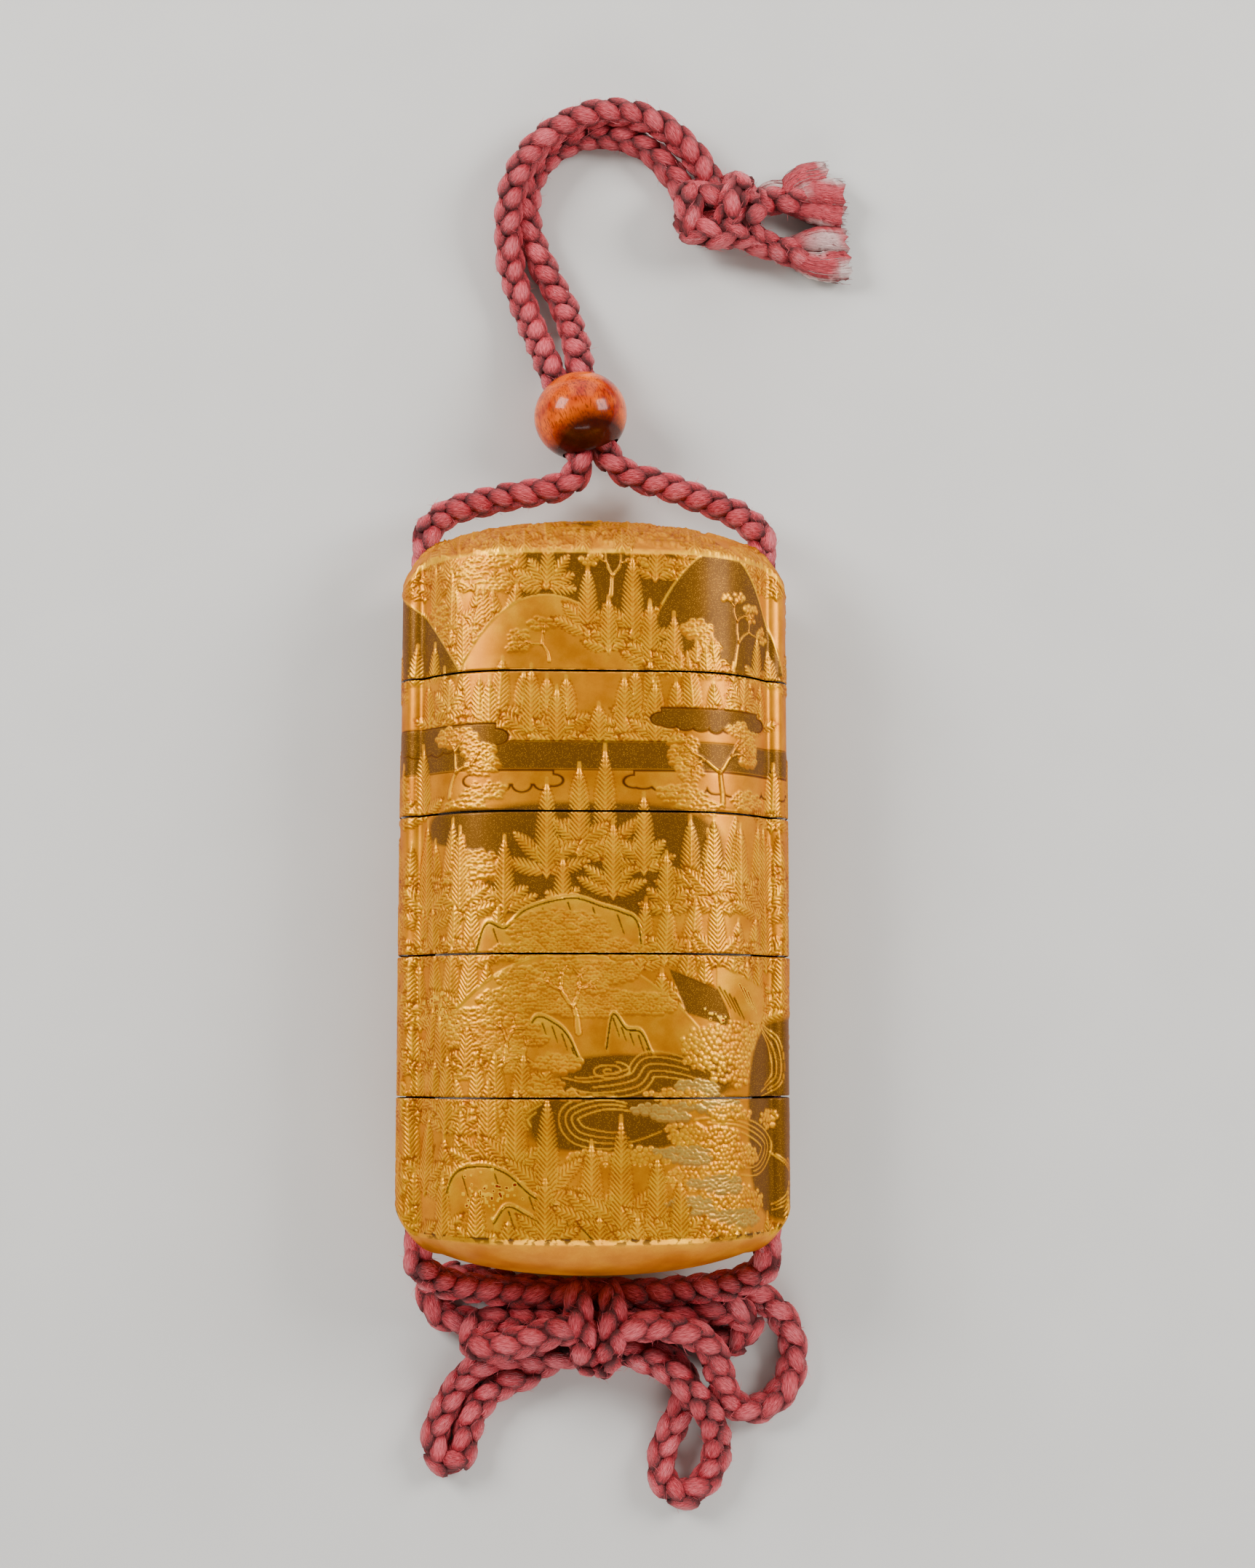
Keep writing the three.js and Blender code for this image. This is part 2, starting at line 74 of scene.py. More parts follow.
# ---- node trees ------------------------------------------------------------------------------
class Tree:
    """Adds and links nodes in one node tree."""

    def __init__(self, tree: NodeTree) -> None:
        """Keeps the tree that the nodes go in."""
        self.tree = tree

    def add(self, kind: str, ins: dict[Any, Any] | None = None, **options: Any) -> Node:
        """Adds a node.

        Args:
            kind: the node's type name.
            ins: value or socket for each input, by name or by number.
            options: the node's own settings.

        Returns:
            The new node.
        """
        node = self.tree.nodes.new(kind)
        for name, value in options.items():
            setattr(node, name, value)
        for key, value in (ins or {}).items():
            if isinstance(value, NodeSocket):
                self.tree.links.new(value, node.inputs[key])
            else:
                node.inputs[key].default_value = value
        return node

    def feed(self, node: Node, **sockets: NodeSocket) -> None:
        """Links sockets to a node's inputs, whose names have _ for a space."""
        for label, socket in sockets.items():
            self.tree.links.new(socket, node.inputs[label.replace("_", " ")])

    def geo(self, kind: str, ins: dict[Any, Any] | None = None, **options: Any) -> NodeSocket:
        """Adds a geometry node and returns its first output."""
        return self.add("GeometryNode" + kind, ins, **options).outputs[0]

    def math(self, operation: str, *values: Any, clamp: bool = False) -> NodeSocket:
        """Adds a Math node on the values and returns its output."""
        node = self.add("ShaderNodeMath", dict(enumerate(values)), operation=operation, use_clamp=clamp)
        return node.outputs[0]

    def plus(self, a: Any, b: Any, clamp: bool = False) -> NodeSocket:
        """Adds two values, held between 0 and 1 if clamp is set."""
        return self.math("ADD", a, b, clamp=clamp)

    def times(self, a: Any, b: Any) -> NodeSocket:
        """Multiplies two values."""
        return self.math("MULTIPLY", a, b)

    def random(self, low: float, high: float, seed: Any) -> NodeSocket:
        """Adds a random number between two values."""
        ins = {2: low, 3: high, "Seed": seed}
        return self.add("FunctionNodeRandomValue", ins, data_type="FLOAT").outputs[1]

    def turned(self, rotation: Any, x: Any, y: Any, z: Any) -> NodeSocket:
        """Turns a rotation further about its own axes."""
        angles = self.add("FunctionNodeEulerToRotation", {0: self.vector(x, y, z)}).outputs[0]
        ins = {0: rotation, 1: angles}
        return self.add("FunctionNodeRotateRotation", ins, rotation_space="LOCAL").outputs[0]

    def shape(self, obj: Any) -> NodeSocket:
        """Reads an object's geometry."""
        return self.add("GeometryNodeObjectInfo", {"Object": obj}).outputs["Geometry"]

    def vector(self, x: Any, y: Any, z: Any) -> NodeSocket:
        """Combines three values in a vector and returns its output."""
        return self.add("ShaderNodeCombineXYZ", {0: x, 1: y, 2: z}).outputs[0]

    def mix(self, factor: Any, a: Any, b: Any) -> NodeSocket:
        """Mixes two colours by a factor and returns the result."""
        return self.add("ShaderNodeMix", {0: factor, 6: a, 7: b}, data_type="RGBA").outputs[2]

    def span(self, value: Any, low: float, high: float, to_low: float = 0.0,
             to_high: float = 1.0) -> NodeSocket:
        """Maps a value from one range to another, clamped, and returns the result."""
        return self.add("ShaderNodeMapRange", {0: value, 1: low, 2: high, 3: to_low, 4: to_high}).outputs[0]

    def noise(self, vector: Any, scale: float, detail: float = 2.0) -> NodeSocket:
        """Adds a Noise Texture and returns its value."""
        return self.add("ShaderNodeTexNoise", {"Vector": vector, "Scale": scale, "Detail": detail}).outputs[0]

    def stretch(self, vector: Any, scale: tuple[float, float, float], turn: float = 0.0) -> NodeSocket:
        """Scales a vector, turned about z, and returns the result."""
        ins = {"Vector": vector, "Scale": scale, "Rotation": (0.0, 0.0, turn)}
        return self.add("ShaderNodeMapping", ins).outputs[0]

    def bump(self, height: Any, strength: float, distance: float) -> NodeSocket:
        """Adds a Bump node and returns its normal."""
        ins = {"Height": height, "Strength": strength, "Distance": distance}
        return self.add("ShaderNodeBump", ins).outputs[0]

    def attribute(self, name: str, output: str = "Fac") -> NodeSocket:
        """Reads an attribute of the mesh in a shader and returns the chosen output."""
        return self.add("ShaderNodeAttribute", attribute_name=name).outputs[output]

    def place(self) -> NodeSocket:
        """Returns the Object coordinates of a shader."""
        return self.add("ShaderNodeTexCoord").outputs["Object"]

    def group(self, tree: NodeTree, **values: float) -> Any:
        """Adds a shared group with plain values for its inputs and returns its outputs."""
        return self.add("ShaderNodeGroup", values, node_tree=tree).outputs


def colour(red: float, green: float, blue: float) -> tuple[float, float, float, float]:
    """Turns a display colour, 0 to 255, into linear red, green, blue and alpha."""
    def linear(value: float) -> float:
        """Linear value of one channel."""
        share = value / 255
        return share / 12.92 if share <= 0.04045 else ((share + 0.055) / 1.055) ** 2.4
    return (linear(red), linear(green), linear(blue), 1.0)


def shared_group(name: str, inputs: dict[str, float],
                 fill: Callable[[Tree, Any], dict[str, NodeSocket]]) -> NodeTree:
    """Builds a shader node group once.

    Args:
        name: the group's name.
        inputs: default value of each input.
        fill: adds the group's nodes, from its inputs, and gives the socket for each output.

    Returns:
        The group's tree.
    """
    if name in bpy.data.node_groups:
        return bpy.data.node_groups[name]
    tree = bpy.data.node_groups.new(name, "ShaderNodeTree")
    for label, value in inputs.items():
        tree.interface.new_socket(label, in_out="INPUT", socket_type="NodeSocketFloat").default_value = value
    made = fill(Tree(tree), tree.nodes.new("NodeGroupInput").outputs)
    for label in made:
        tree.interface.new_socket(label, in_out="OUTPUT", socket_type="NodeSocketFloat")
    Tree(tree).feed(tree.nodes.new("NodeGroupOutput"), **made)
    return tree


def speckle_group() -> NodeTree:
    """Fine metal powder in lacquer: a mask of flakes, and a value that differs from flake to flake."""
    def fill(tree: Tree, into: Any) -> dict[str, NodeSocket]:
        """Adds the cells, of which a share holds a flake."""
        cells = tree.add("ShaderNodeTexVoronoi", {"Vector": tree.place(), "Scale": into["Scale"]}).outputs
        shade = tree.add("ShaderNodeSeparateColor", {0: cells["Color"]}).outputs
        chosen = tree.math("GREATER_THAN", shade[0], tree.math("SUBTRACT", 1.0, into["Share"]))
        return {"Flakes": tree.times(tree.span(cells["Distance"], 0.46, 0.22), chosen), "Shade": shade[1]}
    return shared_group("Powder Speckle", {"Scale": 6000.0, "Share": 0.4}, fill)


def rub_group() -> NodeTree:
    """Handling marks: broad cloudy rubbing and thin scratches, each from 0 to 1."""
    def fill(tree: Tree, into: Any) -> dict[str, NodeSocket]:
        """Adds the clouds and the long slanting streaks."""
        place = tree.place()
        long = tree.stretch(place, (1.0, 0.08, 1.0), 0.5)
        return {"Rub": tree.span(tree.noise(place, into["Scale"], 4.0), 0.42, 0.66),
                "Scratch": tree.span(tree.noise(long, 5200.0, 1.0), 0.70, 0.76)}
    return shared_group("Handling Rub", {"Scale": 180.0}, fill)


def floss_group() -> NodeTree:
    """Silk filaments that run along a stitch."""
    def fill(tree: Tree, into: Any) -> dict[str, NodeSocket]:
        """Adds the streaks, drawn out along the stitch."""
        along = tree.stretch(tree.attribute("lay", "Vector"), (1.0, 0.16, 1.0))
        return {"Streak": tree.span(tree.noise(along, into["Fineness"], 3.0), 0.3, 0.7)}
    return shared_group("Silk Floss", {"Fineness": 14.0}, fill)


def new_material(name: str, **shader: Any) -> tuple[Material, Tree, Node]:
    """Makes a material with one Principled BSDF.

    Args:
        name: the material's name.
        shader: plain values of the shader's sockets, whose names have _ for a space.

    Returns:
        The material, its tree and the shader.
    """
    material = bpy.data.materials.new(name)
    material.use_nodes = True
    principled = material.node_tree.nodes["Principled BSDF"]
    for label, value in shader.items():
        principled.inputs[label.replace("_", " ")].default_value = value
    return material, Tree(material.node_tree), principled


# ---- finishes --------------------------------------------------------------------------------
@dataclass(frozen=True)
class GoldLacquer:
    """Gold powder picture on a dark sprinkled ground, under clear lacquer."""
    bright: tuple = colour(255, 190, 14)
    mid: tuple = colour(216, 136, 2)
    deep: tuple = colour(158, 72, 0)
    ground: tuple = colour(100, 62, 18)
    ground_flake: tuple = colour(186, 128, 36)
    silver: tuple = colour(186, 156, 76)
    ink: tuple = colour(44, 24, 8)
    red: tuple = colour(150, 44, 16)
    chip: tuple = colour(66, 34, 16)
    edge: tuple = colour(238, 162, 24)

    def build(self) -> Material:
        """Returns the material, which reads the picture's attributes from the mesh."""
        material, tree, shader = new_material("gold_lacquer_picture", Coat_Weight=0.06, Coat_Roughness=0.2,
                                              Specular_Tint=self.edge)
        place = tree.place()
        speckle = tree.group(speckle_group(), Scale=7600.0, Share=0.45)
        rub = tree.group(rub_group())
        gold, tone, tile = (tree.attribute(name) for name in ("gold", "tone", "tile"))
        drift = tree.span(tree.noise(place, 320.0, 3.0), 0.35, 0.65, -0.12, 0.12)
        level = tree.plus(tone, drift, clamp=True)
        leaf = tree.mix(tree.span(level, 0.0, 0.5), self.deep, self.mid)
        leaf = tree.mix(tree.span(level, 0.5, 1.0), leaf, self.bright)
        leaf = tree.mix(tree.times(speckle["Shade"], 0.16), leaf, self.deep)
        flakes = tree.times(speckle["Flakes"], tree.span(tone, 0.0, 1.0, 0.35, 1.0))
        base = tree.mix(gold, tree.mix(flakes, self.ground, self.ground_flake), leaf)
        base = tree.mix(tree.attribute("silver"), base, self.silver)
        base = tree.mix(tree.attribute("ink"), base, self.ink)
        base = tree.mix(tree.span(tile, 0.2, 0.4), base, self.bright)
        base = tree.mix(tree.span(tile, 0.7, 0.9), base, self.red)
        wear = tree.times(tree.attribute("wear"), tree.span(tree.noise(place, 900.0, 4.0), 0.50, 0.58))
        rough = tree.plus(tree.span(gold, 0.0, 1.0, 0.42, 0.36), tree.times(rub["Rub"], 0.10))
        metal = tree.times(tree.span(gold, 0.0, 1.0, 0.45, 0.66), tree.span(wear, 0.0, 1.0, 1.0, 0.2))
        tree.feed(shader, Base_Color=tree.mix(wear, base, self.chip), Metallic=metal,
                  Roughness=tree.plus(rough, tree.times(wear, 0.3)),
                  Normal=tree.bump(tree.plus(speckle["Shade"], rub["Scratch"]), 0.10, 0.00004))
        return material


@dataclass(frozen=True)
class InnerLacquer:
    """Dark brown lacquer with sparse gold flakes, inside the sections and on their risers."""
    dark: tuple = colour(52, 30, 16)
    flake: tuple = colour(205, 150, 62)

    def build(self) -> Material:
        """Returns the material."""
        material, tree, shader = new_material("inner_lacquer", Coat_Weight=0.5, Coat_Roughness=0.08)
        flakes = tree.group(speckle_group(), Scale=3800.0, Share=0.30)["Flakes"]
        rub = tree.group(rub_group())["Rub"]
        tree.feed(shader, Base_Color=tree.mix(flakes, self.dark, self.flake),
                  Metallic=tree.times(flakes, 0.8), Roughness=tree.span(rub, 0.0, 1.0, 0.22, 0.38))
        return material


@dataclass(frozen=True)
class BeadWood:
    """Polished amber wood with short dark flecks along its grain, with painted shade towards the foot and a
    deeper amber round its top and sides.
    """
    centre: tuple[float, ...]
    tilt: float
    radius: float
    light: tuple = colour(240, 104, 0)
    amber: tuple = colour(164, 36, 0)
    dark: tuple = colour(38, 5, 1)

    def build(self) -> Material:
        """Returns the material, with its grain along the bead's own axis."""
        material, tree, shader = new_material("bead_wood", Coat_Weight=0.14, Coat_Roughness=0.06,
                                              Specular_IOR_Level=0.15)
        ins = {0: tree.place(), 1: tuple(value * MM for value in self.centre)}
        local = tree.add("ShaderNodeVectorMath", ins, operation="SUBTRACT").outputs[0]
        turned = tree.add("ShaderNodeVectorRotate", {"Vector": local, "Angle": -self.tilt},
                          rotation_type="Z_AXIS").outputs[0]
        grain = tree.stretch(turned, (1.0, 0.22, 1.0))
        fleck = tree.span(tree.noise(grain, 5200.0, 2.0), 0.50, 0.66)
        cloud = tree.span(tree.noise(turned, 300.0, 3.0), 0.35, 0.65)
        parts = tree.add("ShaderNodeSeparateXYZ", {0: turned}).outputs
        across, up = (tree.math("DIVIDE", parts[axis], self.radius * MM) for axis in (0, 1))
        # Place up the bead: low at the foot, high at the top and the sides.
        height = tree.math("SUBTRACT", up, tree.times(tree.math("POWER", across, 2.0), -0.55))
        base = tree.mix(cloud, self.amber, self.light)
        base = tree.mix(tree.times(fleck, 0.62), base, self.dark)
        # Painted shade: dark in a crescent towards the bead's foot.
        base = tree.mix(tree.times(tree.span(height, 0.02, -0.38), 0.93), base, self.dark)
        # A deeper amber towards the bead's top and its sides.
        base = tree.mix(tree.times(tree.span(height, 0.72, 0.98), 0.6), base, self.amber)
        tree.feed(shader, Base_Color=base, Roughness=tree.span(fleck, 0.0, 1.0, 0.16, 0.30),
                  Normal=tree.bump(fleck, 0.05, 0.00005))
        return material


@dataclass(frozen=True)
class Silk:
    """Rose silk floss, with painted shade in the depths of the braid and painted highlights on its tops,
    bleached where it is frayed.
    """
    # light is a painted highlight and dark a painted shade, each mixed with the floss's own streaks; mid is
    # the silk's own rose.
    light: tuple = colour(248, 108, 118)
    mid: tuple = colour(188, 38, 52)
    dark: tuple = colour(84, 5, 12)
    cream: tuple = colour(255, 246, 238)
    sheen: tuple = colour(255, 150, 150)

    def build(self) -> Material:
        """Returns the material, which reads the stitches' own attributes."""
        material, tree, shader = new_material("silk_cord", Sheen_Weight=0.10, Sheen_Roughness=0.4,
                                              Specular_IOR_Level=0.6, Sheen_Tint=self.sheen)
        streak = tree.group(floss_group())["Streak"]
        lift = tree.attribute("lift")
        # Level: the floss's own streaks and each stitch's own tone, plus lift, which paints the stitches'
        # depths darker and their tops lighter as painted shade and highlight.
        level = tree.plus(tree.times(streak, 0.50), tree.times(tree.attribute("chance"), 0.22))
        level = tree.plus(level, tree.span(lift, 0.15, 1.0, -0.45, 0.50), clamp=True)
        base = tree.mix(tree.span(level, 0.0, 0.55), self.dark, self.mid)
        base = tree.mix(tree.span(level, 0.5, 1.0), base, self.light)
        pale = tree.times(tree.attribute("bleach"), tree.span(streak, 0.0, 1.0, 0.6, 1.0))
        rough = tree.plus(tree.span(streak, 0.0, 1.0, 0.24, 0.46), tree.span(lift, 0.1, 0.7, 0.55, 0.0),
                          clamp=True)
        tree.feed(shader, Base_Color=tree.mix(pale, base, self.cream), Roughness=rough,
                  Normal=tree.bump(streak, 1.0, 0.0002))
        return material


@dataclass(frozen=True)
class PaleGround:
    """Matt pale grey that the object lies on."""
    light: tuple = colour(212, 210, 206)
    dim: tuple = colour(204, 202, 198)

    def build(self) -> Material:
        """Returns the material."""
        material, tree, shader = new_material("pale_ground", Specular_IOR_Level=0.2)
        grain = tree.noise(tree.place(), 60.0, 3.0)
        tree.feed(shader, Base_Color=tree.mix(grain, self.dim, self.light),
                  Roughness=tree.span(grain, 0.0, 1.0, 0.75, 0.9))
        return material


# ---- meshes ----------------------------------------------------------------------------------
def mesh_object(name: str, points: Array, faces: list[list[int]],
                attributes: dict[str, Array] | None = None, finish: Material | None = None) -> Object:
    """Makes a linked object from points in millimetres.

    Args:
        name: the object's and the mesh's name.
        points: one row of x, y, z for each point.
        faces: point numbers of each face.
        attributes: values for each point, one number or three.
        finish: the material of every face.

    Returns:
        The object, at the origin.
    """
    mesh = bpy.data.meshes.new(name)
    mesh.from_pydata((np.asarray(points) * MM).tolist(), [], faces)
    for label, values in (attributes or {}).items():
        kind, key = ("FLOAT", "value") if values.ndim == 1 else ("FLOAT_VECTOR", "vector")
        mesh.attributes.new(label, kind, "POINT").data.foreach_set(key, values.astype(np.float32).ravel())
    mesh.polygons.foreach_set("use_smooth", np.ones(len(mesh.polygons), dtype=bool))
    if finish:
        mesh.materials.append(finish)
    mesh.update()
    return linked(name, mesh)


def linked(name: str, data: Any) -> Object:
    """Makes an object of a mesh, a light or a camera and links it to the scene."""
    obj = bpy.data.objects.new(name, data)
    bpy.context.collection.objects.link(obj)
    return obj


def bake_modifiers(obj: Object) -> None:
    """Replaces the object's mesh by its evaluated mesh and drops the modifiers."""
    view = bpy.context.evaluated_depsgraph_get()
    mesh = bpy.data.meshes.new_from_object(obj.evaluated_get(view))
    mesh.name = obj.name
    obj.modifiers.clear()
    obj.data = mesh


def combine(target: Object, tool: Object, operation: str) -> None:
    """Cuts or joins a closed tool mesh into the target and removes the tool.

    Args:
        target: the object that stays.
        tool: the closed object that is cut away or joined on.
        operation: DIFFERENCE or UNION.
    """
    modifier = target.modifiers.new("combine", "BOOLEAN")
    modifier.object = tool
    modifier.operation = operation
    modifier.solver = "MANIFOLD"
    modifier.material_mode = "TRANSFER"
    bake_modifiers(target)
    bpy.data.objects.remove(tool)


def join(parts: Sequence[Object]) -> Object:
    """Joins objects that share their materials into the first one."""
    with bpy.context.temp_override(active_object=parts[0], selected_editable_objects=list(parts),
                                   selected_objects=list(parts)):
        bpy.ops.object.join()
    return parts[0]


def settle(obj: Object, slot: str, *nodes: str) -> None:
    """Rides a finished piece on the case's one body and hides the solids that it replaces.

    Args:
        obj: the piece.
        slot: the record's material slot; not used.
        nodes: the solids that it replaces.
    """
    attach(obj, "root")
    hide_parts(*nodes)
    log.info("%s: %d faces", obj.name, len(obj.data.polygons))


def round_ring(ax: float, az: float, y: float, middle: float = 0.0, power: float = 2.0,
               sides: int = 96) -> Array:
    """A rounded oblong ring about the y axis.

    Args:
        ax: half-width along x.
        az: half-height along z.
        y: its place along y.
        middle: height of its middle.
        power: 2 for an ellipse, more for a squarer ring.
        sides: number of points.

    Returns:
        Points x, y, z.
    """
    angle = np.arange(sides) / sides * FULL
    c, s = np.cos(angle), np.sin(angle)
    x, z = np.sign(c) * np.abs(c) ** (2 / power), np.sign(s) * np.abs(s) ** (2 / power)
    return np.stack([ax * x, np.full(sides, y), middle + az * z], -1)


def closed_tube(name: str, rings: Sequence[Array], finish: Material,
                attributes: dict[str, Array] | None = None) -> Object:
    """Makes a closed solid over rings of equal count, each end a fan, with faces outwards.

    Args:
        name: the object's name.
        rings: points of each ring.
        finish: the material of every face.
        attributes: values for each point, the two hubs of the fans last.

    Returns:
        The object.
    """
    count = len(rings[0])
    points = np.concatenate([*rings, [rings[0].mean(0)], [rings[-1].mean(0)]])
    j = np.arange(count)
    k = (j + 1) % count
    faces: list[list[int]] = []
    for a in range(0, (len(rings) - 1) * count, count):
        faces += np.stack([a + j, a + k, a + count + k, a + count + j], -1).tolist()
    hub = len(rings) * count
    top = hub - count
    faces += [[hub, int(b), int(a)] for a, b in zip(j, k)]
    faces += [[hub + 1, top + int(a), top + int(b)] for a, b in zip(j, k)]
    volume = sum(float(np.dot(points[f[0]], np.cross(points[f[i]], points[f[i + 1]])))
                 for f in faces for i in range(1, len(f) - 1))
    if volume < 0:
        faces = [face[::-1] for face in faces]
    return mesh_object(name, points, faces, attributes, finish)


def outwards(points: Route, faces: list[list[int]]) -> list[list[int]]:
    """Turns every face of a small star-shaped solid away from its middle."""
    p = np.asarray(points, float)
    middle = p.mean(0)
    turned = []
    for face in faces:
        a, b, c = p[face[0]], p[face[1]], p[face[2]]
        away = np.dot(np.cross(b - a, c - a), p[face].mean(0) - middle)
        turned.append(face if away >= 0 else face[::-1])
    return turned


# ---- the case's form -------------------------------------------------------------------------
class End(Enum):
    """What closes one end of a section."""
    FLAT = "flat"
    CROWN = "crown"
    UNDERSIDE = "underside"


@dataclass
class CaseForm:
    """Outline of the case and the curves of its two ends, in millimetres."""
    width: float
    depth: float
    lid_edge: float
    base_edge: float
    flat: float = 5.0
    crease: float = 22.0
    drop: float = 7.5
    panel_power: float = 3.4
    runner_half: float = 5.0
    runner_power: float = 2.8
    blend: float = 0.7
    spine: float = 19.0
    edge: float = 0.55
    edge_from: float = 0.955
    dome_power: float = 2.2
    brow: float = 0.0008
    ridge: tuple[float, float] = (0.0055, 5.5e-6)
    crown_corner: tuple[float, float, float] = (21.2, 2.6, 1.5)
    under_corner: tuple[float, float, float] = (21.5, 3.0, 2.2)
    quarter: tuple[Array, Array, Array] = field(init=False)

    def __post_init__(self) -> None:
        """Works out a quarter of the outline: arc length, x and depth from the middle."""
        bend = self.width / 2 - self.crease
        before, after = self.crease - 0.9, self.crease + 0.6
        start = math.asin((0.6 / bend) ** (self.runner_power / 2))
        angle = np.linspace(start, math.pi / 2, 200)[1:]
        x = np.concatenate([np.linspace(0, before, 260), np.linspace(before, after, 160)[1:],
                            self.crease + bend * np.sin(angle) ** (2 / self.runner_power)])
        z = self.half_depth(x)
        z[-1] = 0.0
        s = np.concatenate([[0], np.cumsum(np.hypot(np.diff(x), np.diff(z)))])
        self.quarter = (s, x, z)

    def half_depth(self, x: Array) -> Array:
        """Half the case's depth at a distance x from its middle."""
        t = np.clip((x - self.flat) / (self.crease - self.flat), 0, None)
        panel = self.depth / 2 - self.drop * t ** self.panel_power
        reach = np.clip((x - self.crease) / (self.width / 2 - self.crease), 0, 1)
        runner = self.runner_half * (1 - reach ** self.runner_power) ** (1 / self.runner_power)
        overlap = np.clip(self.blend - np.abs(panel - runner), 0, None)
        return np.maximum(panel, runner) + overlap ** 2 / (4 * self.blend)

    @property
    def girth(self) -> float:
        """Length of the whole outline."""
        return 4 * self.quarter[0][-1]

    def arc_of(self, x: float) -> float:
        """Arc length along the front to a distance x from the middle, with x's sign."""
        return float(np.sign(x) * np.interp(abs(x), self.quarter[1], self.quarter[0]))

    def past_quarter(self, s: Array) -> Array:
        """How far each arc length lies behind the middle of its side, less than 0 on the front."""
        half = self.girth / 2
        return np.abs(np.mod(s + half, 2 * half) - half) - half / 2

    def outline(self, s: Array) -> tuple[Array, Array]:
        """Point of the outline at each arc length, from the front's middle towards +x.

        Args:
            s: arc lengths, any sign.

        Returns:
            Points as x and depth from the middle, and outward normals, one row each.
        """
        quarter = self.quarter[0][-1]

        def at(value: Array) -> Array:
            """Points at arc lengths."""
            value = np.mod(value + 2 * quarter, 4 * quarter) - 2 * quarter
            side = np.sign(value)
            value = np.abs(value)
            back = value > quarter
            folded = np.where(back, 2 * quarter - value, value)
            x = np.interp(folded, self.quarter[0], self.quarter[1]) * side
            z = np.interp(folded, self.quarter[0], self.quarter[2]) * np.where(back, -1, 1)
            return np.stack([x, z], -1)

        ahead = at(s + 0.05) - at(s - 0.05)
        ahead /= np.linalg.norm(ahead, axis=1)[:, None]
        return at(s), np.stack([-ahead[:, 1], ahead[:, 0]], -1)

    def dome(self, lam: float, ring: Array, end: End) -> Array:
        """A ring of the crown or of the underside.

        Args:
            lam: 1 at the wall, 0 on the ridge line.
            ring: the outline's points.
            end: which of the two.

        Returns:
            Points x, y, z.
        """
        side, edge, rise, corner = ((1, self.lid_edge, CROWN_RISE, self.crown_corner) if end is End.CROWN
                                    else (-1, -self.base_edge, UNDER_RISE, self.under_corner))
        start, drop, power = corner
        x, z = ring[:, 0], ring[:, 1]
        spine = np.clip(x, -self.spine, self.spine)
        u = np.clip((np.abs(x) - start) / (self.width / 2 - start), 0, None)
        low = edge - (self.brow * x * x + drop * u ** power)
        high = edge + rise - (self.ridge[0] * spine ** 2 + self.ridge[1] * spine ** 4)
        lift = -self.edge * max(0.0, (lam - self.edge_from) / (1 - self.edge_from)) ** 4
        y = low + (high - low) * (1 - lam ** self.dome_power) + lift
        return np.stack([spine + lam * (x - spine), side * y, self.depth / 2 + lam * z], -1)


# ---- the picture -----------------------------------------------------------------------------
LAYERS = ("height", "gold", "tone", "silver", "ink", "tile")
CLEAR = {"silver": 0.0, "ink": 0.0, "tile": 0.0}
BARE = {"gold": 0.0, "height": 0.0, **CLEAR}


class Leaf(Enum):
    """Kinds of small leaf."""
    SCALE = "scale"
    BEAD = "bead"


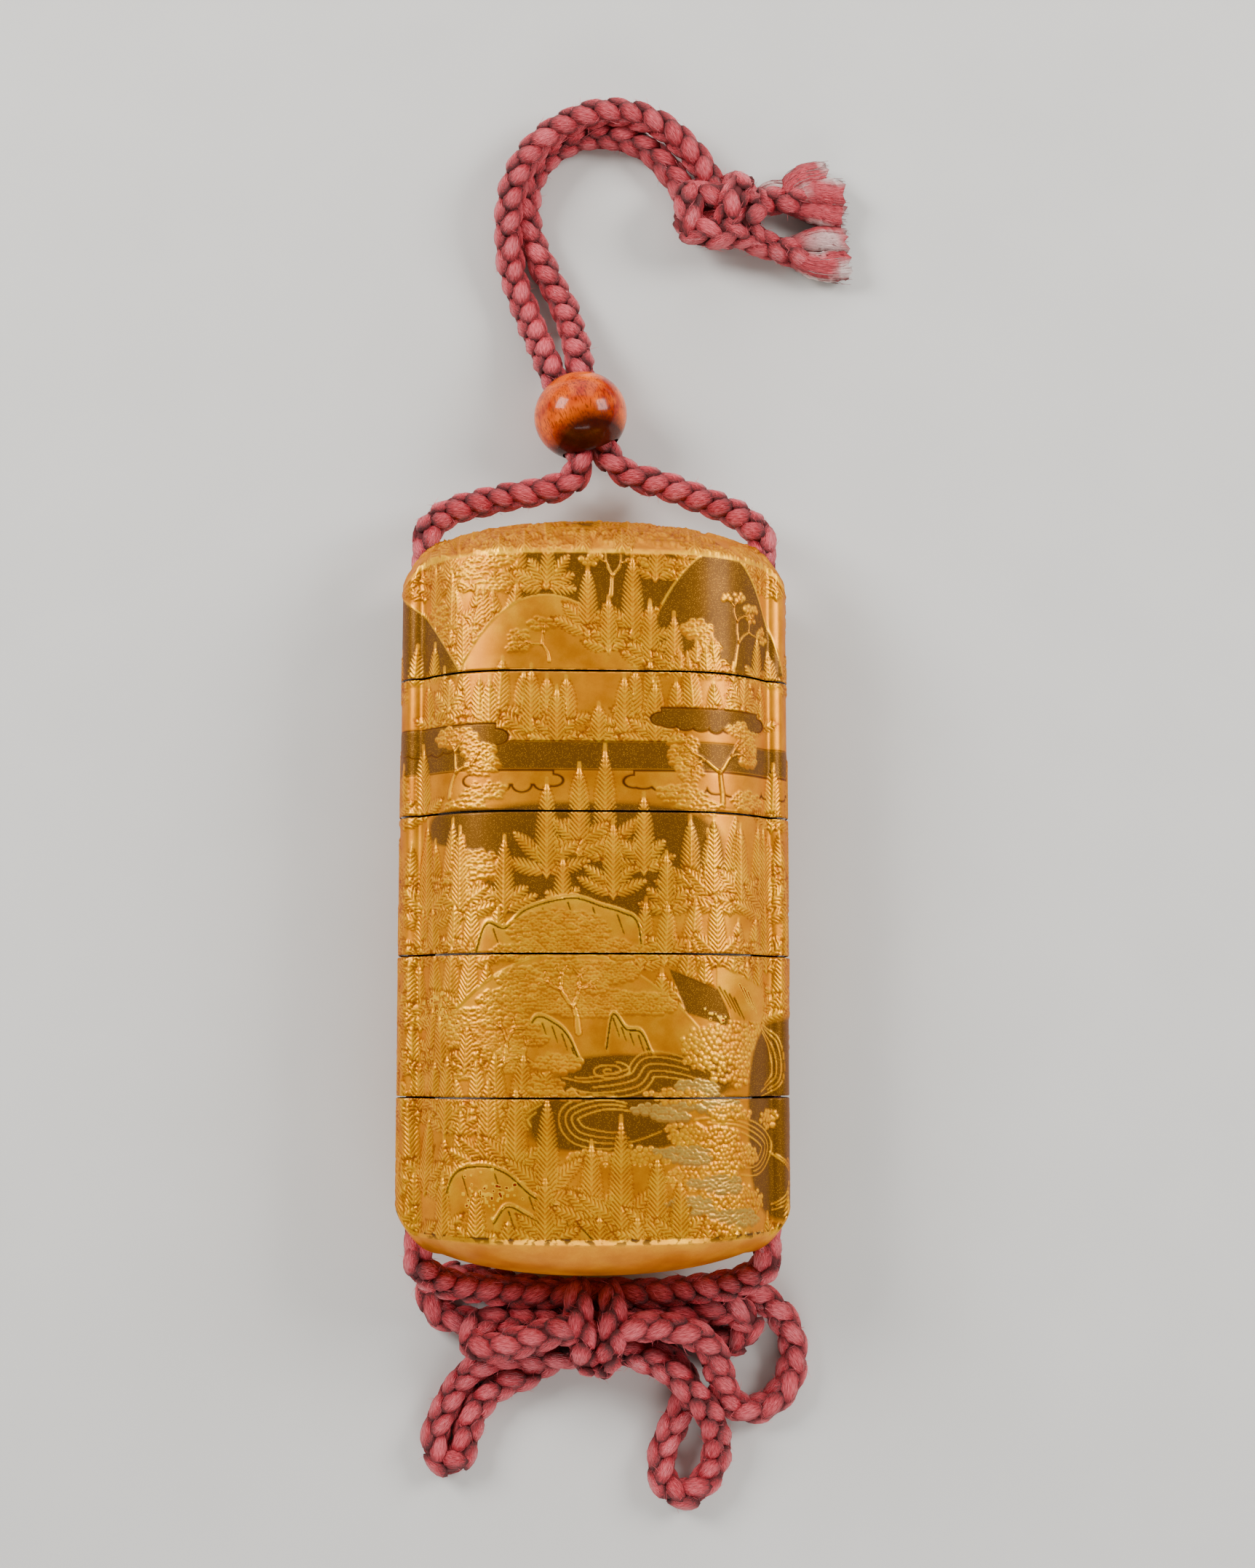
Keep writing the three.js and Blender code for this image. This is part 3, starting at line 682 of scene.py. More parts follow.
class Picture:
    """Raised lacquer picture, painted in layers on a sheet in millimetres.

    Each figure is pasted over what lies behind it. Across, the sheet closes on itself. Places on
    it are s across and y up. Tones run from 0, deep, to 1, bright.
    """

    def __init__(self, across: float, low: float, high: float, step: float, seed: int,
                 wraps: bool = True) -> None:
        """Makes an empty sheet.

        Args:
            across: the sheet's width, centred on 0.
            low: lowest y.
            high: highest y.
            step: spacing of the sheet's points.
            seed: seed of every random choice.
            wraps: whether the sheet closes on itself.
        """
        self.step, self.low, self.wraps = step, low, wraps
        self.columns = int(round(across / step))
        self.step_s = across / self.columns
        self.left = -across / 2
        self.rows = int(round((high - low) / step)) + 1
        self.layers = {name: np.zeros((self.rows, self.columns), np.float32) for name in LAYERS}
        self.random = np.random.default_rng(seed)

    def window(self, s0: float, s1: float, y0: float, y1: float) -> tuple[Any, Array, Array]:
        """Finds the sheet's points inside a box, none where the box lies off the sheet.

        Args:
            s0, s1: the box's sides.
            y0, y1: its foot and its head.

        Returns:
            The index of its rows and columns, and their coordinates s and y.
        """
        r0 = max(0, int((y0 - self.low) / self.step))
        r1 = min(self.rows, int((y1 - self.low) / self.step) + 2)
        c0 = int(math.floor((s0 - self.left) / self.step_s))
        c1 = int(math.ceil((s1 - self.left) / self.step_s)) + 1
        if not self.wraps:
            c0, c1 = max(0, c0), min(self.columns, c1)
        rows, columns = np.arange(r0, r1), np.arange(c0, c1)
        s = (self.left + columns * self.step_s)[None, :]
        y = (self.low + rows * self.step)[:, None]
        return np.ix_(rows, columns % self.columns), s, y

    def paste(self, where: Any, mask: Array, **values: Any) -> None:
        """Lays values over the layers of a window, by a mask from 0 to 1."""
        for name, value in values.items():
            layer = self.layers[name]
            layer[where] = layer[where] * (1 - mask) + value * mask

    def sample(self, name: str, s: Array, y: Array) -> Array:
        """Reads a layer between its points."""
        col = (s - self.left) / self.step_s
        row = np.clip((y - self.low) / self.step, 0, self.rows - 1.001)
        c0, r0 = np.floor(col).astype(int), np.floor(row).astype(int)
        fc, fr = col - c0, row - r0
        ca, cb = (c % self.columns if self.wraps else np.clip(c, 0, self.columns - 1) for c in (c0, c0 + 1))
        grid = self.layers[name]
        return ((grid[r0, ca] * (1 - fc) + grid[r0, cb] * fc) * (1 - fr)
                + (grid[r0 + 1, ca] * (1 - fc) + grid[r0 + 1, cb] * fc) * fr)

    def soften(self) -> None:
        """Rounds off the relief's steps with each point's four neighbours."""
        grid = self.layers["height"]
        up, down = np.vstack([grid[1:], grid[-1:]]), np.vstack([grid[:1], grid[:-1]])
        grid = (grid * 2 + np.roll(grid, 1, 1) + np.roll(grid, -1, 1) + up + down) / 6
        self.layers["height"] = grid.astype(np.float32)

    # -- plain areas --
    def area(self, s0: float, s1: float, y0: float, y1: float, inside: Callable[[Array, Array], Array],
             soft: float = 0.1, **values: Any) -> None:
        """Fills a shape.

        Args:
            s0, s1, y0, y1: a box round the shape.
            inside: distance into the shape at each point, less than 0 outside it.
            soft: width over which its edge fades.
            values: what each layer gets, a number or a function of s and y.
        """
        where, s, y = self.window(s0, s1, y0, y1)
        filled = {key: (value(s, y) if callable(value) else value) for key, value in values.items()}
        self.paste(where, np.clip(inside(s, y) / soft + 0.5, 0, 1), **filled)

    def line(self, points: Route, half: float, taper: float = 1.0, rise: float = 0.1,
             **values: float) -> None:
        """Draws a rounded line through points.

        Args:
            points: rows of s and y.
            half: half its width at the start.
            taper: share of that width at the end.
            rise: how far it stands out, or less than 0 where it is cut in.
            values: what each layer gets.
        """
        points = np.asarray(points, float)
        low, high = points.min(axis=0) - half, points.max(axis=0) + half
        where, s, y = self.window(low[0], high[0], low[1], high[1])
        bow = np.zeros(np.broadcast(s, y).shape)
        for i, (a, b) in enumerate(zip(points[:-1], points[1:])):
            c0, c1 = np.searchsorted(s[0], (min(a[0], b[0]) - half, max(a[0], b[0]) + half))
            r0, r1 = np.searchsorted(y[:, 0], (min(a[1], b[1]) - half, max(a[1], b[1]) + half))
            ds, dy, d = s[:, c0:c1] - a[0], y[r0:r1] - a[1], b - a
            t = np.clip((ds * d[0] + dy * d[1]) / max(1e-9, d @ d), 0, 1)
            wide = half * (1 + (taper - 1) * (i + t) / (len(points) - 1))
            ratio = np.hypot(ds - t * d[0], dy - t * d[1]) / wide
            bow[r0:r1, c0:c1] = np.maximum(bow[r0:r1, c0:c1], 1 - ratio ** 2)
        bow = np.sqrt(np.clip(bow, 0, 1))
        self.layers["height"][where] += rise * bow
        self.paste(where, np.clip(bow * 2.2, 0, 1), **values)

    # -- plants --
    def frond(self, s: float, y: float, angle: float, length: float, width: float, rise: float = 0.2,
              pitch: float = 0.62, tone: float = 0.85) -> None:
        """Draws a feathered frond: a midrib with leaflets that slope up from it on both sides.

        Args:
            s, y: its root.
            angle: its turn from upright.
            length: root to tip.
            width: across its leaflets.
            rise: how far it stands out.
            pitch: spacing of the leaflets.
            tone: brightness of the gold.
        """
        tip = (s + math.sin(angle) * length, y + math.cos(angle) * length)
        where, ss, yy = self.window(min(s, tip[0]) - width, max(s, tip[0]) + width,
                                    min(y, tip[1]) - width, max(y, tip[1]) + width)
        ds, dy = ss - s, yy - y
        u = ds * math.sin(angle) + dy * math.cos(angle)
        v = np.abs(ds * math.cos(angle) - dy * math.sin(angle))
        root = u - v * 1.15
        t = np.clip((root + 0.5 * pitch) / length, 0, 1)
        half = width / 2 * (1 - t ** 2.3) ** 0.8 * np.minimum(1, 0.35 + t * 5)
        comb = np.sin(math.pi * root / pitch) ** 2
        edge = half * (0.50 + 0.58 * comb) - v
        keep = (root > -pitch) * (u < length + 0.25)
        # A dark contour round the frond: the dark ground between fronds, with painted shade along it.
        self.paste(where, np.clip((edge + 0.16) / 0.1 + 0.5, 0, 1) * keep, height=0.0, tone=0.12, ink=0.32,
                   silver=0.0, tile=0.0)
        crown = 1 - 0.4 * np.clip(v / np.maximum(half, 0.1), 0, 1) ** 2
        rib = np.exp(-(v / 0.12) ** 2)
        shape = np.maximum(0.12 + 0.88 * comb, rib) * crown
        self.paste(where, np.clip(edge / 0.1 + 0.5, 0, 1) * keep, height=0.05 + rise * shape, gold=1.0,
                   tone=tone * (0.34 + 0.80 * comb) + 0.15 * rib, silver=0.0,
                   ink=0.22 * (1 - comb) ** 2 * (1 - rib), tile=0.0)

    def cedar(self, s: float, y: float, tall: float, lean: float = 0.0, tone: float = 0.8,
              pairs: int = 2) -> None:
        """Draws a cedar: side fronds in pairs that open from its foot, then its tall leader.

        Args:
            s, y: its foot.
            tall: height of the leader.
            lean: the leader's turn from upright.
            tone: brightness of the gold.
            pairs: pairs of side fronds.
        """
        width = min(2.9, 1.5 + 0.12 * tall)
        for k in range(pairs):
            share = k / max(1, pairs)
            for side in (-1, 1):
                turn = lean + side * (1.25 - 0.75 * share + self.random.uniform(-0.12, 0.12))
                reach = min(6.5, tall * (0.54 - 0.1 * share)) * self.random.uniform(0.85, 1.1)
                self.frond(s, y + tall * (0.02 + 0.2 * share), turn, reach, width * 0.72, 0.16,
                           tone=tone * 0.95)
        self.frond(s, y, lean, tall, width, 0.22, tone=tone)
        bud = [(s + math.sin(lean) * tall * k, y + math.cos(lean) * tall * k) for k in (0.84, 1.04)]
        self.line(bud, 0.3, 0.8, 0.02, gold=1.0, tone=0.8 * tone, ink=0.0)

    def spray(self, s: float, y: float, size: float, count: int = 7) -> None:
        """Draws fronds that spread from one point like an open fan."""
        for turn in sorted(np.linspace(-1.7, 1.7, count), key=lambda value: -abs(value)):
            self.frond(s, y, turn + self.random.uniform(-0.1, 0.1),
                       size * (1.0 - 0.14 * abs(turn)) * self.random.uniform(0.9, 1.1), 2.0, 0.18, tone=0.8)

    def foliage(self, lobes: Route, size: float = 0.92, leaf: Leaf = Leaf.SCALE,
                tone: float = 0.8, silver: float = 0.0) -> None:
        """Covers lobes with small leaves in rows, the lower rows in front.

        Args:
            lobes: ellipses, each s, y, half-width and half-height.
            size: spacing of the leaves in a row.
            leaf: overlapping scales with a raised upper rim, or round beads with gaps between.
            tone: brightness of the gold.
            silver: share of silver over the gold.
        """
        lobes = np.asarray(lobes, float)
        centres, halves = lobes[:, :2], lobes[:, 2:]
        (s0, y0), (s1, y1) = (centres - halves).min(0) - size, (centres + halves).max(0) + size
        where, s, y = self.window(s0, s1, y0, y1)
        scale = leaf is Leaf.SCALE
        pitch = size * (0.42 if scale else 0.84)
        low = 0.40 if scale else 0.54
        first = np.floor(y / pitch)
        for back, beside in ((b, c) for b in (2, 1, 0, -1) for c in (0, 1)):
            row = first + back
            shift = np.where(row % 2 > 0.5, 0.5, 0.0)
            column = np.floor(s / size - shift) + beside
            chance = np.modf(np.abs(np.sin(row * 12.9898 + column * 78.233)) * 4375.85)[0]
            other = np.modf(chance * 7.3)[0]
            cs = (column + shift) * size + (chance - 0.5) * 0.42 * size
            cy = row * pitch + (other - 0.5) * 0.8 * pitch
            big = size * (0.82 + 0.36 * np.modf(chance * 31.7)[0])
            within = np.zeros(chance.shape, bool)
            for ls, ly, wide, tall in lobes:
                within |= ((cs - ls) / wide) ** 2 + ((cy - ly) / tall) ** 2 < 1
            across, up = (s - cs) / (0.56 * big), (y - cy) / (low * big)
            dist = np.hypot(across, up)
            mask = np.clip((1 - dist) * size * 0.54 / 0.09 + 0.5, 0, 1) * within
            if scale:
                rim = np.exp(-((dist - 0.70) / 0.26) ** 2) * np.clip(up * 1.6 + 0.3, 0, 1)
                height, shade = 0.03 + 0.19 * rim, 0.46 + 0.72 * rim
                ink = 0.35 * np.clip((dist - 0.9) / 0.2, 0, 1) + 0.22 * np.clip(0.2 - up, 0, 1)
            else:
                dome = np.sqrt(np.clip(1 - dist ** 2, 0, 1))
                # Each bead is a dome, its tone brighter towards its middle as a painted highlight.
                height, shade = 0.03 + 0.17 * dome, 0.35 + 0.65 * dome
                ink = 0.5 * np.clip((dist - 0.85) / 0.2, 0, 1)
            self.paste(where, mask, height=height, gold=1.0, tone=tone * shade,
                       silver=silver * np.minimum(1, shade), ink=ink, tile=0.0)

    def tree(self, s: float, y: float, turn: float, length: float, half: float, depth: int,
             crown: float = 1.5, leaf: Leaf = Leaf.SCALE, size: float = 0.86) -> None:
        """Draws a trunk that forks, with a small cloud of leaves over each tip.

        Args:
            s, y: its foot.
            turn: the trunk's turn from upright.
            length: the trunk's length.
            half: half the trunk's width.
            depth: how many times it forks.
            crown: half-width of each cloud of leaves.
            leaf: kind of leaf.
            size: spacing of the leaves.
        """
        bare: list[tuple[Route, float]] = []
        tips: list[tuple[float, float]] = []

        def grow(s: float, y: float, turn: float, length: float, half: float, depth: int) -> None:
            """Adds one limb and what forks from it."""
            points = [(s, y)]
            for _ in range(4):
                turn += self.random.uniform(-0.25, 0.25)
                s, y = s + math.sin(turn) * length / 4, y + math.cos(turn) * length / 4
                points.append((s, y))
            bare.append((points, half))
            if depth == 0:
                tips.append((s, y))
                return
            for side in (-1, 1):
                grow(s, y, turn + side * self.random.uniform(0.4, 0.85),
                     length * self.random.uniform(0.62, 0.8), half * 0.68, depth - 1)

        grow(s, y, turn, length, half, depth)
        for tip in sorted(tips, key=lambda place: -place[1]):
            self.foliage([(tip[0], tip[1] + 0.1, crown, crown * 0.55)], size, leaf)
        for points, thick in bare:
            self.line(points, thick + 0.12, 0.8, 0.0, ink=0.3, tone=0.2)
            self.line(points, thick, 0.7, 0.16, gold=1.0, tone=0.72, silver=0.0, ink=0.0)

    # -- ground, rocks, clouds and water --
    def hill(self, ridge: Callable[[Array], Array], s0: float, s1: float, low: float, high: float,
             gold: float, top: float, fade: float, bottom: float) -> None:
        """Draws a hill below a ridge, lost in its ground at its foot and its sides.

        Args:
            ridge: height of the ridge at each s.
            s0, s1, low, high: a box round the hill.
            gold: share of gold on the slope.
            top: tone along the ridge.
            fade: depth over which the slope darkens.
            bottom: tone far below the ridge.
        """
        def inside(s: Array, y: Array) -> Array:
            """Distance into the hill, which dies away slowly at its foot and its sides."""
            slow = np.minimum(np.minimum(y - low - 2, s - s0 - 2), s1 - s - 2) * 0.03
            return np.minimum(ridge(s) - y, slow)

        def tone(s: Array, y: Array) -> Array:
            """Brightness, which fades down the slope."""
            return bottom + (top - bottom) * np.exp(-np.clip(ridge(s) - y, 0, None) / fade)

        self.area(s0, s1, low, high, inside, height=0.04, gold=gold, tone=tone, **CLEAR)
        s = np.arange(s0 + 1, s1 - 1, 0.4)
        y = ridge(s)
        keep = (y > low + 1) & (y < high)
        if keep.sum() > 1:
            self.line(np.stack([s[keep], y[keep]], -1), 0.13, 1.0, 0.06, gold=1.0, tone=0.8)

    def cloud(self, s0: float, s1: float, y0: float, y1: float, gold: float, tone: float,
              scallop: float = 0.8) -> None:
        """Draws a long cloud with a level top, a scalloped foot and ends, and a thin dark contour.

        Args:
            s0, s1, y0, y1: its sides, foot and top.
            gold: share of gold in it.
            tone: brightness of that gold.
            scallop: size of the scallops.
        """
        tall, centre = (y1 - y0) / 2, (y0 + y1) / 2 + 0.1
        count = max(2, int((s1 - s0) / (scallop * 2.4)))
        lobes = [(s0 + (s1 - s0) * (k + 0.5) / count,
                  y0 + scallop + 0.5 * tall * abs(2 * (k + 0.5) / count - 1) ** 3,
                  scallop * self.random.uniform(1.25, 1.7), scallop * self.random.uniform(0.8, 1.15))
                 for k in range(count)]
        lobes += [(end, centre, tall * 0.9, tall * 0.55) for end in (s0, s1)]

        def inside(s: Array, y: Array) -> Array:
            """Signed distance into the body or the nearest lobe, roughly."""
            best = np.minimum(np.minimum(y1 - y, y - y0 - scallop), np.minimum(s - s0, s1 - s))
            for cs, cy, rs, ry in lobes:
                best = np.maximum(best, (1 - np.sqrt(((s - cs) / rs) ** 2 + ((y - cy) / ry) ** 2)) * ry)
            return np.minimum(best, y1 - y)

        box = (s0 - 2 * tall, s1 + 2 * tall, y0 - 1, y1 + 1)
        self.area(*box, lambda s, y: inside(s, y) + 0.1, height=0.0, ink=0.85, gold=0.6, tone=0.1)
        self.area(*box, lambda s, y: inside(s, y) - 0.1, height=0.05, gold=gold, tone=tone, **CLEAR)

    def rock(self, points: Route, low: float, hatch: int) -> None:
        """Draws an angular rock below a broken ridge, with a dark contour and slanting strokes.

        Args:
            points: the ridge, from left to right.
            low: the rock's foot.
            hatch: number of strokes.
        """
        points = np.asarray(points, float)

        def ridge(s: Array) -> Array:
            """Height of the ridge, far below beside it."""
            return np.interp(s, points[:, 0], points[:, 1], left=-999, right=-999)

        def tone(s: Array, y: Array) -> Array:
            """Brighter along the ridge."""
            return 0.50 + 0.36 * np.exp(-np.clip(ridge(s) - y, 0, 50) / 1.4)

        self.area(points[0, 0], points[-1, 0], low - 2, points[:, 1].max() + 0.4,
                  lambda s, y: np.minimum(ridge(s) - y, (y - low) * 0.06), height=0.08, gold=1.0,
                  tone=tone, **CLEAR)
        crest = smooth_line(points, 8 * len(points))
        self.line(crest, 0.20, 1.0, 0.12, gold=1.0, tone=0.8, ink=0.0)
        self.line(crest - np.array([0.0, 0.36]), 0.10, 1.0, -0.05, ink=0.9, gold=0.5)
        for k in range(hatch):
            s = points[0, 0] + (points[-1, 0] - points[0, 0]) * (k + 0.8) / (hatch + 0.8)
            top = float(ridge(np.array([s]))[0]) - 0.8
            size = min(self.random.uniform(1.2, 2.6), max(0.4, top - low))
            self.line([(s, top), (s + 0.35 * size, top - size)], 0.1, 0.5, -0.04, ink=0.85, gold=0.5)

    def tiles(self, s: float, y: float, wide: float, tall: float, count: int) -> None:
        """Scatters small square gold inlays about a point, a few of them red."""
        for _ in range(count):
            cs = s + self.random.normal(0, wide / 3)
            cy = y + self.random.normal(0, tall / 3)
            size = self.random.uniform(0.13, 0.24)
            value = 1.0 if self.random.random() < 0.3 else 0.55
            self.area(cs - size, cs + size, cy - size, cy + size,
                      lambda a, b: np.minimum(size - np.abs(a - cs), size - np.abs(b - cy)),
                      soft=0.08, tile=value, height=0.1)

    def stream(self, path: Route, count: int, gap: float) -> None:
        """Draws current lines that part and close again along a smooth path.

        Args:
            path: points along the stream.
            count: number of lines.
            gap: spacing of the lines.
        """
        centre = smooth_line(path, 50)
        normal = np.stack([-np.gradient(centre[:, 1]), np.gradient(centre[:, 0])], -1)
        normal /= np.maximum(1e-6, np.linalg.norm(normal, axis=1))[:, None]
        part = (0.25 + 0.75 * np.sin(math.pi * np.linspace(0, 1, 50)) ** 0.8)[:, None]
        for k in range(count):
            shift = (k - (count - 1) / 2) * gap + self.random.uniform(-0.1, 0.1)
            first, last = int(self.random.integers(0, 12)), int(self.random.integers(38, 50))
            self.line((centre + normal * shift * part)[first:last], 0.12, 0.7, 0.08,
                      gold=1.0, tone=0.75, ink=0.0)

    def whirl(self, s: float, y: float, size: float, turns: float) -> None:
        """Draws a curl of water."""
        t = np.linspace(0.04, 1, 60)
        angle, radius = turns * FULL * t, size * t ** 0.9
        self.line(np.stack([s + radius * np.cos(angle) * 1.8, y + radius * np.sin(angle) * 0.75], -1),
                  0.12, 1.0, 0.08, gold=1.0, tone=0.78, ink=0.0)


def smooth_line(points: Route, count: int) -> Array:
    """Passes a smooth curve through points and returns count points along it."""
    p = np.asarray(points, float)
    padded = np.concatenate([[2 * p[0] - p[1]], p, [2 * p[-1] - p[-2]]])
    t = np.linspace(0, len(p) - 1, count)
    i = np.clip(np.floor(t).astype(int), 0, len(p) - 2)
    f = (t - i)[:, None]
    a, b, c, d = padded[i], padded[i + 1], padded[i + 2], padded[i + 3]
    return 0.5 * (2 * b + (c - a) * f + (2 * a - 5 * b + 4 * c - d) * f ** 2
                  + (3 * b - a - 3 * c + d) * f ** 3)


@dataclass
class Landscape:
    """The picture round the case: cedars, pines, hills, mist, rocks and a stream.

    Its methods take distances across, x, from the front's middle. Past the case's side they run on
    round it to the back.
    """
    form: CaseForm
    step: float = 0.08
    seed: int = 41
    ground_tone: float = 0.45
    sheet: Picture = field(init=False)

    def build(self) -> Picture:
        """Paints the plainer back, the front and the sides, and returns the sheet."""
        form = self.form
        self.sheet = Picture(form.girth, form.base_edge - 4, form.lid_edge + 1.5, self.step, self.seed)
        self.sheet.layers["gold"][:] = 1.0
        self.sheet.layers["tone"][:] = self.ground_tone
        for paint in (self.back, self.lid, self.mist, self.cedars, self.pines, self.water):
            paint()
        self.sheet.soften()
        return self.sheet

    def x(self, value: float) -> float:
        """Arc length at a distance across."""
        inner = max(-SIDE_X, min(SIDE_X, value))
        return self.form.arc_of(inner) + (value - inner)

    def placed(self, rows: Route) -> list[tuple[float, ...]]:
        """Turns the first number of each row, a distance across, into its arc length."""
        return [(self.x(row[0]), *row[1:]) for row in rows]

    def leaves(self, lobes: Route, *kind: Any) -> None:
        """Draws foliage over lobes."""
        self.sheet.foliage(self.placed(lobes), *kind)

    def rock(self, points: Route, low: float, hatch: int) -> None:
        """Draws a rock."""
        self.sheet.rock(self.placed(points), low, hatch)

    def stream(self, path: Route, count: int, gap: float) -> None:
        """Draws a stream."""
        self.sheet.stream(self.placed(path), count, gap)

    def stand(self, cedars: Route) -> None:
        """Draws cedars, each of a distance across, a height of its foot and its own height."""
        for s, y, tall in self.placed(cedars):
            self.sheet.cedar(s, y, tall)

    def grove(self, x0: float, x1: float, y: float, tall: float, count: int, tone: float = 0.8,
              pairs: int = 2) -> None:
        """Draws a row of cedars of mixed heights, in no order.

        Args:
            x0, x1: its two ends.
            y: height of its foot.
            tall: usual height of a cedar.
            count: number of cedars.
            tone: brightness of the gold.
            pairs: pairs of side fronds on each.
        """
        s0, s1, draw = self.x(x0), self.x(x1), self.sheet.random
        order = [(i + 0.5) / count for i in range(count)]
        draw.shuffle(order)
        for share in order:
            self.sheet.cedar(s0 + (s1 - s0) * share + draw.uniform(-0.5, 0.5), y + draw.uniform(-0.8, 0.8),
                             tall * draw.uniform(0.75, 1.2), draw.uniform(-0.1, 0.1), tone, pairs)

    def dark(self, x0: float, x1: float, y0: float, y1: float, soft: float) -> None:
        """Leaves an oval of bare sprinkled ground.

        Args:
            x0, x1: its sides.
            y0, y1: its foot and its head.
            soft: width over which its edge fades.
        """
        s0, s1 = self.x(x0), self.x(x1)
        s, y, wide, tall = (s0 + s1) / 2, (y0 + y1) / 2, (s1 - s0) / 2, (y1 - y0) / 2
        self.sheet.area(s0 - 1, s1 + 1, y0 - 1, y1 + 1, lambda a, b: (
            (1 - (np.abs((a - s) / wide) ** 3 + np.abs((b - y) / tall) ** 3)) * min(wide, tall) * 0.5),
            soft=soft, tone=0.4, **BARE)

    def lid(self) -> None:
        """Paints the lid: groves along the top, a gold hill between two dark ones."""
        p, x = self.sheet, self.x
        self.dark(-12, 13, 34, 46, 0.8)
        self.grove(-28, -9, 37.5, 8, 9, 0.7)
        self.grove(6, 28, 38.5, 8, 9, 0.7)
        self.leaves([(-15.5, 39.8, 2.6, 1.4), (-12.2, 40.8, 2.2, 1.1), (-13, 37.6, 2, 0.9)])
        p.tree(x(1.7), 36.4, 0, 2.6, 0.26, 3, 1.3, Leaf.BEAD, 0.66)
        p.spray(x(-6.4), 37.6, 5.2, 7)
        self.grove(-20.5, -10, 31, 8.5, 7)
        self.leaves([(-20, 34.6, 1.8, 1.6), (-18.6, 31.6, 1.9, 1.4)])
        self.grove(-21, -14, 27, 6, 4)
        p.hill(lambda s: 42.6 - 0.105 * (s - x(15.8)) ** 2 - 0.0013 * np.abs(s - x(15.8)) ** 3,
               x(4.2), x(31), 24, 46, 0, 0.8, 5, 0.35)
        p.hill(lambda s: 38.5 - 0.05 * (s - x(-26.5)) ** 2, x(-37), x(-15), 24, 46, 0, 0.8, 5, 0.35)
        p.hill(lambda s: 36.4 - 0.062 * (s - x(-6.4)) ** 2 - 0.0006 * np.abs(s - x(-6.4)) ** 3.2,
               x(-19.5), x(7), 22, 38, 1, 0.60, 5, 0.36)
        p.tree(x(-6), 28, 0.1, 2.4, 0.16, 2, 1.5, Leaf.SCALE, 0.8)
        self.stand(((-1.2, 31.4, 8.6), (4.4, 30.5, 11), (1.4, 29.5, 6.5), (6.6, 27.5, 8), (9.6, 26, 8)))
        p.tree(x(17.4), 27.6, 0.05, 3.6, 0.24, 3, 1, Leaf.BEAD, 0.62)
        self.leaves([(12.6, 32.2, 2, 1.2), (14, 30.2, 1.8, 0.9), (15, 27.6, 2.4, 0.9)])
        self.leaves([(26, 36, 2.4, 3.4)], 0.7, Leaf.BEAD)
        self.grove(8.5, 16, 24.6, 6, 5)
        self.grove(19.5, 30, 25.2, 7, 5)
        self.grove(-30, -20, 24.6, 6, 5)

    def mist(self) -> None:
        """Paints the first tray: a grove above bands and clouds of mist."""
        p, x = self.sheet, self.x
        p.area(x(-24), x(24), 10, 26.7, lambda s, y: 26.2 - y + 0 * s, soft=0.8, gold=1, tone=0.42,
               height=0.03, ink=0)
        self.grove(-22, -2, 20.2, 7, 8, 0.8, 1)
        self.grove(3, 22, 20.2, 7, 8, 0.8, 1)
        for s, tall in ((-13.4, 8.2), (-8.2, 9.6), (-5, 7), (3.4, 8.6), (7.2, 8), (0.2, 5)):
            p.cedar(x(s), 17.6, tall)
        p.spray(x(18.6), 22.6, 4.2, 7)
        p.spray(x(-18.6), 22.4, 3.8, 5)
        p.area(x(-29), x(29), 13.6, 18.6, lambda s, y: np.minimum(17.9 - y, y - 14.5) + 0 * s, gold=0,
               tone=0.5, height=0, silver=0, ink=0)
        for y in (18, 14.4):
            p.line([(x(-29), y), (x(29), y)], 0.09, 1, -0.03, ink=0.8)
        p.cloud(x(-26), x(-12.6), 16.6, 20.2, 0, 0.55)
        p.cloud(x(8), x(20.5), 19.2, 22.2, 0, 0.5)
        p.cloud(x(-15.6), x(-5.4), 11.6, 14.3, 1, 0.48, 0.9)
        p.cloud(x(4.6), x(26), 11.4, 14.3, 1, 0.48, 0.9)
        p.tree(x(-18.4), 11.2, 0.05, 3.4, 0.3, 2, 2.3)
        self.leaves([(-14.2, 11.6, 3, 1.3), (-16.6, 9.9, 3, 1)])
        p.tree(x(15.8), 10.6, 0, 3.8, 0.34, 3, 1.9)
        self.leaves([(10.4, 11.4, 3.2, 1.3), (19.4, 10.8, 3, 1.3), (12.6, 9.8, 3.4, 1)])
        self.grove(-30, -20.5, 8.4, 9, 4, 0.8, 1)
        self.grove(21.5, 30, 8.4, 9, 4, 0.8, 1)

